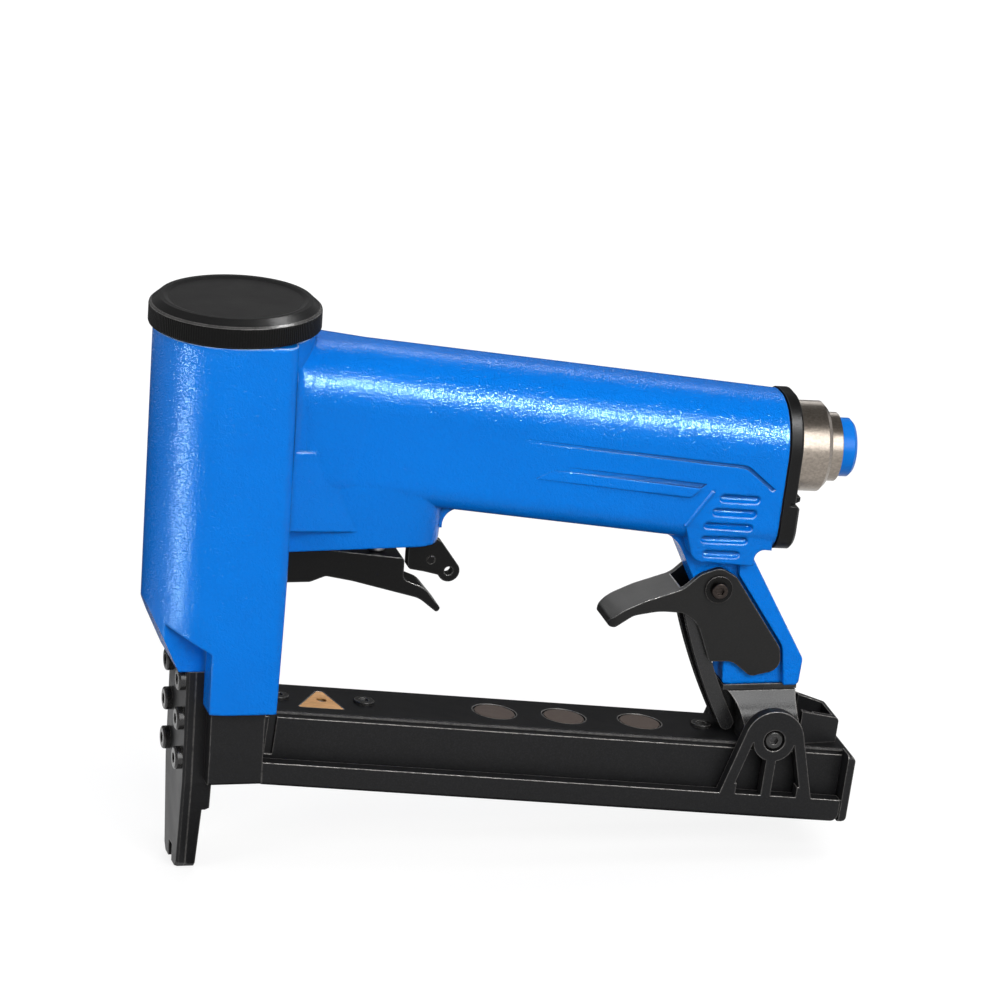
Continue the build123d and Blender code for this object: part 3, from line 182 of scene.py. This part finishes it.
def makeEdgeWear(look):
    inputs = {name.capitalize(): look[name] for name in ("width", "amount", "chips", "around")}
    tree, given, out = shaderGroup("edgeWear", inputs, ("Mask",))
    inside = put(tree, "ShaderNodeAmbientOcclusion", inside=True, only_local=True, samples=6)
    wire(tree, given["Width"], inside.inputs["Distance"])
    edge = mapRange(tree, inside.outputs["AO"], *look["open"], 0.0, 1.0)
    flakes = noise(tree, given["Chips"], detail=3.0, roughness=0.7)
    chips = mapRange(tree, flakes, *look["chipped"], look["leastChip"], 1.0)
    soft = put(tree, "ShaderNodeBevel", samples=4)
    wire(tree, given["Width"], soft.inputs["Radius"])
    facing = put(tree, "ShaderNodeSeparateXYZ")
    wire(tree, soft.outputs["Normal"], facing.inputs[0])
    upward = mapRange(tree, facing.outputs["Z"], *look["upward"], 0.0, 1.0)
    upward = mathNode(tree, "MAXIMUM", upward, given["Around"])
    worn = mathNode(tree, "MULTIPLY", mathNode(tree, "MULTIPLY", edge, chips), upward)
    wire(tree, mathNode(tree, "MULTIPLY", worn, given["Amount"], True), out["Mask"])
    return tree


# fine scratches along one way, for drawn and brushed metal
drawnLines = {"size": 900.0, "stretch": 0.04, "streak": (0.35, 0.65)}


def makeDrawnLines(look):
    tree, given, out = shaderGroup(
        "drawnLines", {"Size": look["size"], "Stretch": look["stretch"]}, ("Height", "Streak"))
    place = put(tree, "ShaderNodeSeparateXYZ")
    wire(tree, put(tree, "ShaderNodeTexCoord").outputs["Object"], place.inputs[0])
    joined = put(tree, "ShaderNodeCombineXYZ")
    wire(tree, mathNode(tree, "MULTIPLY", place.outputs["X"], given["Stretch"]), joined.inputs["X"])
    wire(tree, place.outputs["Y"], joined.inputs["Y"])
    wire(tree, place.outputs["Z"], joined.inputs["Z"])
    lines = noise(tree, given["Size"], detail=3.0, roughness=0.6, coordinates=joined.outputs[0])
    wire(tree, lines, out["Height"])
    wire(tree, mapRange(tree, lines, *look["streak"], 0.0, 1.0), out["Streak"])
    return tree


effects = {make.__name__: make(look) for make, look in (
    (makePebbleSkin, pebbleSkin), (makeBlastGrain, blastGrain), (makeEdgeWear, edgeWear),
    (makeDrawnLines, drawnLines))}


def effect(tree, maker, **values):
    node = put(tree, "ShaderNodeGroup", node_tree=effects[maker.__name__])
    for name, value in values.items():
        node.inputs[name].default_value = value
    return node.outputs


def newMaterial(name, **sockets):
    material = bpy.data.materials.new(name)
    material.use_nodes = True
    tree = material.node_tree
    shader = tree.nodes["Principled BSDF"]
    for key, value in sockets.items():
        feed(tree, shader.inputs[key.replace("_", " ")], value)
    return material, tree, shader


def addBump(tree, shader, height, strength, distance, roundness):
    bump = put(tree, "ShaderNodeBump")
    bump.inputs["Strength"].default_value = strength
    bump.inputs["Distance"].default_value = distance
    wire(tree, height, bump.inputs["Height"])
    soft = put(tree, "ShaderNodeBevel", samples=8)  # soft moulded edges in the shading
    feed(tree, soft.inputs["Radius"], roundness)
    wire(tree, soft.outputs["Normal"], bump.inputs["Normal"])
    wire(tree, bump.outputs["Normal"], shader.inputs["Normal"])


def patchyGloss(tree, patches, look, low=0.3, high=0.7):  # slow patches between the finish's two roughnesses
    return mapRange(tree, patches, low, high, *look["roughness"])


print("tacker: effects ready")

# blue sprayed casting
# the pale edge colour below is a painted highlight, partly real edge wear
bluePaint = {"color": (0.0, 0.182, 0.73), "deep": (0.0, 0.165, 0.68), "wearAndGlint": (0.66, 0.84, 1.0),
             "roughness": (0.12, 0.17), "gloss": 0.15, "tint": (0.52, 0.92, 1.0),
             "peel": 0.75, "peelDepth": 0.0003, "cloudShare": 0.6, "speckle": (0.38, 0.62),
             "round": 0.0011, "crisp": 0.0004, "crispFrom": (0.065, 0.1152), "crispBlend": (0.01, 0.0008),
             "edge": 0.0006, "wear": 0.8, "chips": 160.0, "grooveWearAndGlint": 0.05,
             # painted shade in the hollows, and their dulling, set below
             "recess": 0.0022, "hollow": (0.94, 0.6), "lip": (0.05, 0.3), "shadow": (0.0, 0.06, 0.27),
             "shade": 0.8, "dull": 0.6}


def makeBluePaint(look):
    material, tree, shader = newMaterial(
        "bluePaint", Specular_IOR_Level=look["gloss"], Specular_Tint=look["tint"])
    skin = effect(tree, makePebbleSkin)
    speckle = blendShares(tree, skin["Cloud"], look["cloudShare"], skin["Height"])
    cloudy = mixColor(tree, mapRange(tree, speckle, *look["speckle"], 0.0, 1.0), look["deep"], look["color"])
    # the long grooves high on the grip are cut sharper than the louvres and the head
    place = put(tree, "ShaderNodeSeparateXYZ")
    wire(tree, put(tree, "ShaderNodeTexCoord").outputs["Object"], place.inputs[0])
    rearward, upper = (mapRange(tree, place.outputs[way], start, start + blend, 0.0, 1.0)
                       for way, start, blend in zip("XZ", look["crispFrom"], look["crispBlend"]))
    sharp = mathNode(tree, "MULTIPLY", rearward, upper)
    # painted highlight, partly wear: upward-facing outer edges are painted pale blue-white in place of glints
    # along lips, ridges and the head's rim
    wear = effect(tree, makeEdgeWear, Width=look["edge"], Amount=look["wear"], Chips=look["chips"], Around=0.0)
    wearAndGlint = mathNode(tree, "MULTIPLY", wear["Mask"], mapRange(tree, sharp, 0.0, 1.0, 1.0, look["grooveWearAndGlint"]))
    # painted shade: the bottoms and down-facing walls of slots and grooves are painted dark and made dull,
    # while the louvres' lower lips stay bright
    hollow = put(tree, "ShaderNodeAmbientOcclusion", only_local=True, samples=6)
    hollow.inputs["Distance"].default_value = look["recess"]
    facing = put(tree, "ShaderNodeSeparateXYZ")
    wire(tree, put(tree, "ShaderNodeNewGeometry").outputs["Normal"], facing.inputs[0])
    shadowed = mathNode(tree, "MAXIMUM", mapRange(tree, facing.outputs["Z"], *look["lip"], 1.0, 0.0), sharp)
    deep = mathNode(tree, "MULTIPLY", mapRange(tree, hollow.outputs["AO"], *look["hollow"], 0.0, 1.0), shadowed)
    shaded = mixColor(tree, mathNode(tree, "MULTIPLY", deep, look["shade"]), cloudy, look["shadow"])
    wire(tree, mixColor(tree, wearAndGlint, shaded, look["wearAndGlint"]), shader.inputs["Base Color"])
    shine = patchyGloss(tree, skin["Cloud"], look)
    wire(tree, mathNode(tree, "MAXIMUM", shine, mathNode(tree, "MULTIPLY", deep, look["dull"])),
         shader.inputs["Roughness"])
    addBump(tree, shader, skin["Height"], look["peel"], look["peelDepth"],
            mapRange(tree, sharp, 0.0, 1.0, look["round"], look["crisp"]))
    return material


# black anodised magazine and nose, rubbed bright along the edges
blackMetal = {"name": "blackMetal", "color": (0.009, 0.009, 0.0095), "fleck": (0.016, 0.016, 0.017),
              "bare": (0.5, 0.48, 0.46), "roughness": (0.34, 0.48), "gloss": 0.15, "edge": 0.0004, "wear": 1.0}
hookSteel = {"name": "hookSteel", "color": (0.008, 0.008, 0.0085), "fleck": (0.016, 0.0155, 0.015),
             "bare": (0.42, 0.40, 0.38), "roughness": (0.18, 0.3), "gloss": 0.4, "edge": 0.0004, "wear": 0.5}
leverBlack = {"name": "leverBlack", "color": (0.003, 0.0029, 0.0028), "fleck": (0.0065, 0.0063, 0.0061),
              "bare": (0.5, 0.49, 0.47), "roughness": (0.34, 0.44), "gloss": 0.24, "edge": 0.0004, "wear": 0.8,
              "round": 0.0006}
triggerBlack = {"name": "triggerBlack", "color": (0.0025, 0.0024, 0.0024), "fleck": (0.0055, 0.0054, 0.0053),
                "bare": (0.5, 0.49, 0.47), "roughness": (0.3, 0.4), "gloss": 0.12, "edge": 0.0004, "wear": 0.8,
                "round": 0.0005}
endCapBlack = {"name": "endCapBlack", "color": (0.004, 0.004, 0.0041), "fleck": (0.008, 0.008, 0.008),
               "bare": (0.2, 0.2, 0.2), "roughness": (0.34, 0.44), "gloss": 0.14, "edge": 0.0003,
               "wear": 0.35}
headCapBlack = {"name": "headCapBlack", "color": (0.009, 0.009, 0.0092), "fleck": (0.014, 0.014, 0.014),
                "bare": (0.2, 0.2, 0.2), "roughness": (0.3, 0.4), "gloss": 0.25, "edge": 0.0003, "wear": 0.2}
knurlBlack = {"name": "knurlBlack", "color": (0.0018, 0.0018, 0.0018), "fleck": (0.0045, 0.0045, 0.0045),
              "bare": (0.25, 0.24, 0.23), "roughness": (0.3, 0.42), "gloss": 0.1, "edge": 0.0002, "wear": 0.15}
rimSatin = {"name": "rimSatin", "color": (0.022, 0.021, 0.021), "fleck": (0.04, 0.039, 0.038),
            "bare": (0.4, 0.39, 0.38), "roughness": (0.24, 0.34), "gloss": 0.6, "edge": 0.0002, "wear": 0.4}
screwBlack = {"name": "screwBlack", "color": (0.010, 0.0098, 0.0095), "fleck": (0.018, 0.0175, 0.017),
              "bare": (0.45, 0.43, 0.41), "roughness": (0.2, 0.3), "gloss": 0.5, "edge": 0.0003, "wear": 0.6}
washerBlack = {"name": "washerBlack", "color": (0.003, 0.0029, 0.0028), "fleck": (0.006, 0.0058, 0.0056),
               "bare": (0.45, 0.43, 0.41), "roughness": (0.18, 0.28), "gloss": 0.13, "edge": 0.0003,
               "wear": 0.7}
blackenedSkin = {"bump": 0.12, "depth": 0.00015, "round": 0.0003}  # shared by the blacks


def makeBlackened(look):
    material, tree, shader = newMaterial(look["name"], Specular_IOR_Level=look["gloss"])
    grain = effect(tree, makeBlastGrain)
    wear = effect(tree, makeEdgeWear, Width=look["edge"], Amount=look["wear"])
    dark = mixColor(tree, grain["Fleck"], look["color"], look["fleck"])
    wire(tree, mixColor(tree, wear["Mask"], dark, look["bare"]), shader.inputs["Base Color"])
    wire(tree, wear["Mask"], shader.inputs["Metallic"])
    wire(tree, patchyGloss(tree, grain["Rub"], look), shader.inputs["Roughness"])
    skin = {**blackenedSkin, **look}
    addBump(tree, shader, grain["Height"], skin["bump"], skin["depth"], skin["round"])
    return material


# plated and bare metals
satinNickel = {"name": "satinNickel", "color": (0.31, 0.27, 0.23), "dull": (0.23, 0.2, 0.17),
               "roughness": (0.26, 0.36), "size": 1400.0, "stretch": 0.8, "bump": 0.3}
pivotSteel = {"name": "pivotSteel", "color": (0.05, 0.041, 0.037), "dull": (0.03, 0.0245, 0.022),
              "roughness": (0.28, 0.4), "size": 1200.0, "stretch": 0.6, "bump": 0.12}
brightSteel = {"name": "brightSteel", "color": (0.56, 0.56, 0.57), "dull": (0.36, 0.36, 0.37),
               "roughness": (0.22, 0.4), "size": 900.0, "stretch": 0.04, "bump": 0.1}
springSteel = {"name": "springSteel", "color": (0.4, 0.4, 0.42), "dull": (0.24, 0.24, 0.26),
               "roughness": (0.25, 0.42), "size": 1200.0, "stretch": 0.04, "bump": 0.1}
lightAlloy = {"name": "lightAlloy", "color": (0.62, 0.62, 0.63), "dull": (0.46, 0.46, 0.48),
              "roughness": (0.3, 0.45), "size": 700.0, "stretch": 0.04, "bump": 0.12}
inlayBrass = {"name": "inlayBrass", "color": (0.74, 0.4, 0.15), "dull": (0.58, 0.31, 0.11),
              "roughness": (0.4, 0.55), "size": 1100.0, "stretch": 0.3, "bump": 0.14}
drawnSkin = {"grain": 1800.0, "patch": 60.0, "depth": 0.0001, "round": 0.0003}  # shared by the metals


def makeDrawnMetal(look):
    material, tree, shader = newMaterial(look["name"], Metallic=1.0)
    lines = effect(tree, makeDrawnLines, Size=look["size"], Stretch=look["stretch"])
    grain = effect(tree, makeBlastGrain, Size=drawnSkin["grain"], Patch=drawnSkin["patch"])
    wire(tree, mixColor(tree, lines["Streak"], look["dull"], look["color"]), shader.inputs["Base Color"])
    wire(tree, patchyGloss(tree, grain["Rub"], look), shader.inputs["Roughness"])
    addBump(tree, shader, lines["Height"], look["bump"], drawnSkin["depth"], drawnSkin["round"])
    return material


# moulded pieces
bluePlastic = {"name": "bluePlastic", "color": (0.0, 0.19, 0.74), "shade": (0.0, 0.168, 0.68),
               "roughness": (0.26, 0.34), "gloss": 0.14}
windowPlastic = {"name": "windowPlastic", "color": (0.1, 0.078, 0.067), "shade": (0.08, 0.063, 0.054),
                 "roughness": (0.4, 0.52), "gloss": 0.2}
sealRubber = {"name": "sealRubber", "color": (0.010, 0.010, 0.0105), "shade": (0.017, 0.017, 0.017),
              "roughness": (0.6, 0.75), "gloss": 0.3}
mouldedSkin = {"grain": 2200.0, "patch": 120.0, "bump": 0.08, "depth": 0.0001, "round": 0.0004}  # on all three


def makeMoulded(look):
    material, tree, shader = newMaterial(look["name"], Specular_IOR_Level=look["gloss"])
    grain = effect(tree, makeBlastGrain, Size=mouldedSkin["grain"], Patch=mouldedSkin["patch"])
    wire(tree, mixColor(tree, grain["Fleck"], look["color"], look["shade"]), shader.inputs["Base Color"])
    wire(tree, patchyGloss(tree, grain["Rub"], look), shader.inputs["Roughness"])
    addBump(tree, shader, grain["Height"], mouldedSkin["bump"], mouldedSkin["depth"], mouldedSkin["round"])
    return material


finishes = {
    makeBluePaint(bluePaint): ("housing",),
    makeBlackened(headCapBlack): ("head_cap",),
    makeBlackened(endCapBlack): ("end_cap",),
    makeBlackened(blackMetal): (
        "nose_front_plate", "nose_guide", "magazine_head", "magazine_tray", "magazine_slide", "slide_tail"),
    makeBlackened(hookSteel): ("latch_hook", "saddle", "foot_plate"),
    makeBlackened(leverBlack): ("release_lever",),
    makeBlackened(triggerBlack): ("trigger", "trigger_tab"),
    makeBlackened(screwBlack): ("nose_screws", "ear_bolts", "slide_screws"),
    makeBlackened(washerBlack): ("lever_washers", "tab_pin"),
    makeDrawnMetal(pivotSteel): ("lever_pivot",),
    makeDrawnMetal(satinNickel): ("inlet_fitting",),
    makeDrawnMetal(brightSteel): (
        "driver_blade", "blade_pin", "staple_rail", "feed_arbor", "trigger_pin", "saddle_stud", "valve_stem",
        "pusher"),
    makeDrawnMetal(springSteel): ("feed_spring", "valve_spring", "lever_spring"),
    makeDrawnMetal(lightAlloy): ("cylinder_sleeve", "piston", "head_valve", "trigger_valve"),
    makeDrawnMetal(inlayBrass): ("brass_inlay",),
    makeMoulded(bluePlastic): ("release_collar",),
    makeMoulded(windowPlastic): ("view_windows",),
    makeMoulded(sealRubber): ("cap_gasket", "bumper", "piston_ring", "end_gasket", "hose_seal"),
}
for material, names in finishes.items():
    for name in names:
        mesh = cadNodes[name].data
        mesh.materials.clear()
        mesh.materials.append(material)
print("tacker: finishes on", sum(len(names) for names in finishes.values()), "nodes")


def makeValveCoil():
    spring = cadNodes["valve_spring"]
    coil = bpy.data.objects.new("valveCoil", spring.data.copy())
    coil.matrix_world = spring.matrix_world
    scene.collection.objects.link(coil)
    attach(coil, "frame")
    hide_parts("valve_spring")
    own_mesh(coil)


makeValveCoil()
print("tacker: valve spring made")


# a closed ring round an upright axis, from one cross-section for each step
def makeRing(name, axis, sections, material):
    steps, rows = len(sections), len(sections[0])
    points = []
    for step, section in enumerate(sections):
        angle = 2 * math.pi * step / steps
        points += [(axis + radius * math.cos(angle), radius * math.sin(angle), height)
                   for radius, height in section]
    faces = []
    for step in range(steps):
        here, there = step * rows, (step + 1) % steps * rows
        for row in range(rows):
            above = (row + 1) % rows
            faces.append((here + row, there + row, there + above, here + above))
    mesh = bpy.data.meshes.new(name)
    mesh.from_pydata(points, [], faces)
    mesh.materials.append(material)
    ring = bpy.data.objects.new(name, mesh)
    scene.collection.objects.link(ring)
    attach(ring, "frame")
    return ring


# straight knurl round the head cap, and the satin edge above it
capTrim = {"axis": 0.0086, "radius": 0.02501, "inner": 0.0248, "low": 0.16435, "high": 0.16978,
           "teeth": 200, "proud": 0.00016, "lead": 0.00035,
           "edgeRun": 0.00066, "edgeRise": 0.00061, "edgeProud": 0.00004}


def makeCapTrim(look):
    inner, radius, low, high = look["inner"], look["radius"], look["low"], look["high"]
    sections = []
    for step in range(2 * look["teeth"]):
        crest = radius + look["proud"] * (step % 2)
        sections.append([(inner, low), (radius, low), (crest, low + look["lead"]),
                         (crest, high - look["lead"]), (radius, high), (inner, high)])
    knurl = makeRing("capKnurl", look["axis"], sections, makeBlackened(knurlBlack))
    outer = radius + look["edgeProud"]
    top = (outer - look["edgeRun"], high + look["edgeRise"] + look["edgeProud"])
    section = [(inner, high), (outer, high), (outer, high + look["edgeProud"]), top,
               (inner - look["edgeRun"], top[1])]
    return knurl, makeRing("capEdge", look["axis"], [section] * look["teeth"], makeBlackened(rimSatin))


capRings = makeCapTrim(capTrim)
print("tacker: cap trim made")

# floor, light and a surround that is white low down and greyer overhead
studio = {
    "floorSize": 6.0, "floorColor": (0.25, 0.25, 0.25), "floorLift": (0.8, 0.8, 0.8), "floorFade": (0.5, 1.4),
    "floorDrop": 0.0003, "matt": 0.9,
    "ambient": 0.3, "overhead": 0.2, "sweep": (0.06, 0.16), "target": (0.09, 0.0, 0.12),
    "lamps": (
        {"name": "keyBox", "spot": (0.3, -1.3, 0.8), "size": (1.0, 0.6), "power": 16.0, "seen": "diffuse"},
        {"name": "topBox", "spot": (0.3, -0.2, 1.45), "size": (1.2, 0.9), "power": 5.0, "seen": "diffuse"},
        {"name": "leftBox", "spot": (-1.15, -0.6, 0.42), "size": (0.4, 0.8), "power": 6.5, "seen": "diffuse"},
        {"name": "rearBox", "spot": (0.4, 1.3, 0.8), "size": (0.9, 0.5), "power": 9.0, "seen": "diffuse"},
        {"name": "sheenBox", "spot": (0.644, -1.309, 0.873), "size": (1.0, 1.1), "power": 20.0, "seen": "gloss",
         "lights": "trim"},
        {"name": "rearSheen", "spot": (0.25, 1.3, 0.6), "size": (1.2, 0.4), "power": 3.2, "seen": "gloss",
         "lights": "topFaces"},
        {"name": "crownStrip", "spot": (0.37, -0.61, 0.47), "size": (0.6, 0.1), "power": 40.0, "seen": "gloss",
         "lights": "housing"},
        {"name": "rearStrip", "spot": (0.48, 1.03, 1.06), "size": (0.5, 0.16), "power": 3.0, "seen": "gloss",
         "lights": "housing"},
        {"name": "barrelCard", "spot": (-0.36, -0.075, 0.004), "size": (0.3, 0.09), "power": 5.0,
         "seen": "gloss", "target": (-0.36, -0.075, 1.0), "lights": "housing"},
        {"name": "creaseSpot", "spot": (-0.265, -0.913, 0.29), "size": (0.12, 0.12), "power": 4.5,
         "seen": "gloss", "lights": "housing"},
        {"name": "rimSpot", "spot": (0.86, -0.06, 1.28), "size": (0.25, 0.25), "power": 8.0, "seen": "gloss",
         "lights": "cap"},
        {"name": "edgeStrip", "spot": (0.39, -0.5, 0.92), "size": (0.6, 0.15), "power": 24.0, "seen": "gloss",
         "lights": "edges"},
        {"name": "flangeStrip", "spot": (0.39, -0.5, 0.92), "size": (0.6, 0.15), "power": 2.5, "seen": "gloss",
         "lights": "magazine"},
    ),
    "flagColor": (0.04, 0.04, 0.04),
    "flags": {"lyingFlag": ((-0.35, 0.16, 0.001), (0.16, 0.55, 0.001)),
              "underFlag": ((0.0, -0.04, 0.001), (0.19, 0.16, 0.001)),
              "standingFlag": ((-0.3, 0.6, 0.0), (0.7, 0.6, 0.22))},
}


# what a lamp made for one surface lights
def makeReceivers(name, pieces):
    group = bpy.data.collections.new(name)
    for piece in pieces:
        group.objects.link(piece)
    return group


topFaces = (cadNodes[name] for name in ("release_lever", "brass_inlay", "inlet_fitting"))
magazine = (cadNodes[name] for name in (
    "magazine_head", "magazine_tray", "magazine_slide", "slide_tail", "saddle", "ear_bolts", "nose_screws"))
edges = (cadNodes[name] for name in ("release_lever", "lever_washers", "trigger", "trigger_tab", "end_cap"))
trim = (node for name, node in cadNodes.items() if name != "housing")
receivers = {"housing": makeReceivers("litHousing", (cadNodes["housing"],)),
             "cap": makeReceivers("litCap", (cadNodes["head_cap"], *capRings)),
             "topFaces": makeReceivers("litTopFaces", topFaces),
             "edges": makeReceivers("litEdges", edges),
             "magazine": makeReceivers("litMagazine", magazine),
             "trim": makeReceivers("litTrim", (*trim, *capRings))}


def seenRays(tree):  # one where the camera, a mirror or a glass looks at the surround
    rays = put(tree, "ShaderNodeLightPath")
    seen = mathNode(tree, "ADD", rays.outputs["Is Camera Ray"], rays.outputs["Is Glossy Ray"])
    return mathNode(tree, "ADD", seen, rays.outputs["Is Transmission Ray"], True)


def makeCard(name, low, high, material):
    mesh = bpy.data.meshes.new(name)
    corners = [low, (high[0], low[1], low[2]), high, (low[0], high[1], high[2])]
    mesh.from_pydata(corners, [], [(0, 1, 2, 3)])
    mesh.materials.append(material)
    card = bpy.data.objects.new(name, mesh)
    scene.collection.objects.link(card)
    return card


def makeFloor(look):
    material, tree, shader = newMaterial(
        "paleFloor", Base_Color=look["floorColor"], Roughness=look["matt"], Specular_IOR_Level=0.1,
        Emission_Strength=1.0)
    # far from the tool, where the lamps don't reach, the floor stays white
    far = put(tree, "ShaderNodeVectorMath", operation="LENGTH")
    wire(tree, put(tree, "ShaderNodeTexCoord").outputs["Object"], far.inputs[0])
    lift = mixColor(tree, mapRange(tree, far.outputs["Value"], *look["floorFade"], 0.0, 1.0),
                    look["floorLift"], (1.0, 1.0, 1.0))
    wire(tree, mixColor(tree, seenRays(tree), (0.0, 0.0, 0.0), lift), shader.inputs["Emission Color"])
    half = look["floorSize"] / 2
    makeCard("paleFloor", (-half, -half, -look["floorDrop"]), (half, half, -look["floorDrop"]), material)


# dark cards that only show in the gloss, so that the far edges of barrel and grip stay blue
def makeFlags(look):
    material = newMaterial(
        "darkFlag", Base_Color=look["flagColor"], Roughness=look["matt"], Specular_IOR_Level=0.0)[0]
    for name, (low, high) in look["flags"].items():
        card = makeCard(name, low, high, material)
        card.visible_camera = card.visible_diffuse = card.visible_shadow = False


def makeSurround(look):
    world = bpy.data.worlds.new("paleSurround")
    scene.world = world
    world.use_nodes = True
    tree = world.node_tree
    tree.nodes.clear()
    height = put(tree, "ShaderNodeSeparateXYZ")
    wire(tree, put(tree, "ShaderNodeTexCoord").outputs["Generated"], height.inputs[0])
    sweep = mapRange(tree, height.outputs["Z"], *look["sweep"], 1.0, look["overhead"])
    blend = put(tree, "ShaderNodeMix")
    wire(tree, seenRays(tree), blend.inputs[0])
    blend.inputs[2].default_value = look["ambient"]
    wire(tree, sweep, blend.inputs[3])
    background = put(tree, "ShaderNodeBackground")
    background.inputs["Color"].default_value = (1.0, 1.0, 1.0, 1.0)
    wire(tree, blend.outputs[0], background.inputs["Strength"])
    wire(tree, background.outputs[0], put(tree, "ShaderNodeOutputWorld").inputs[0])


def makeLamps(look):
    for each in look["lamps"]:
        data = bpy.data.lights.new(each["name"], "AREA")
        data.shape = "RECTANGLE"
        data.size, data.size_y = each["size"]
        data.energy = each["power"]
        lamp = bpy.data.objects.new(each["name"], data)
        spot = Vector(each["spot"])
        lamp.location = spot
        aim = Vector(each.get("target", look["target"])) - spot
        lamp.rotation_euler = aim.to_track_quat("-Z", "Y").to_euler()
        lamp.visible_camera = False
        lamp.visible_diffuse = each["seen"] != "gloss"
        lamp.visible_glossy = each["seen"] != "diffuse"
        if "lights" in each:
            lamp.light_linking.receiver_collection = receivers[each["lights"]]
        scene.collection.objects.link(lamp)


makeFloor(studio)
makeFlags(studio)
makeSurround(studio)
makeLamps(studio)
print("tacker: studio ready")
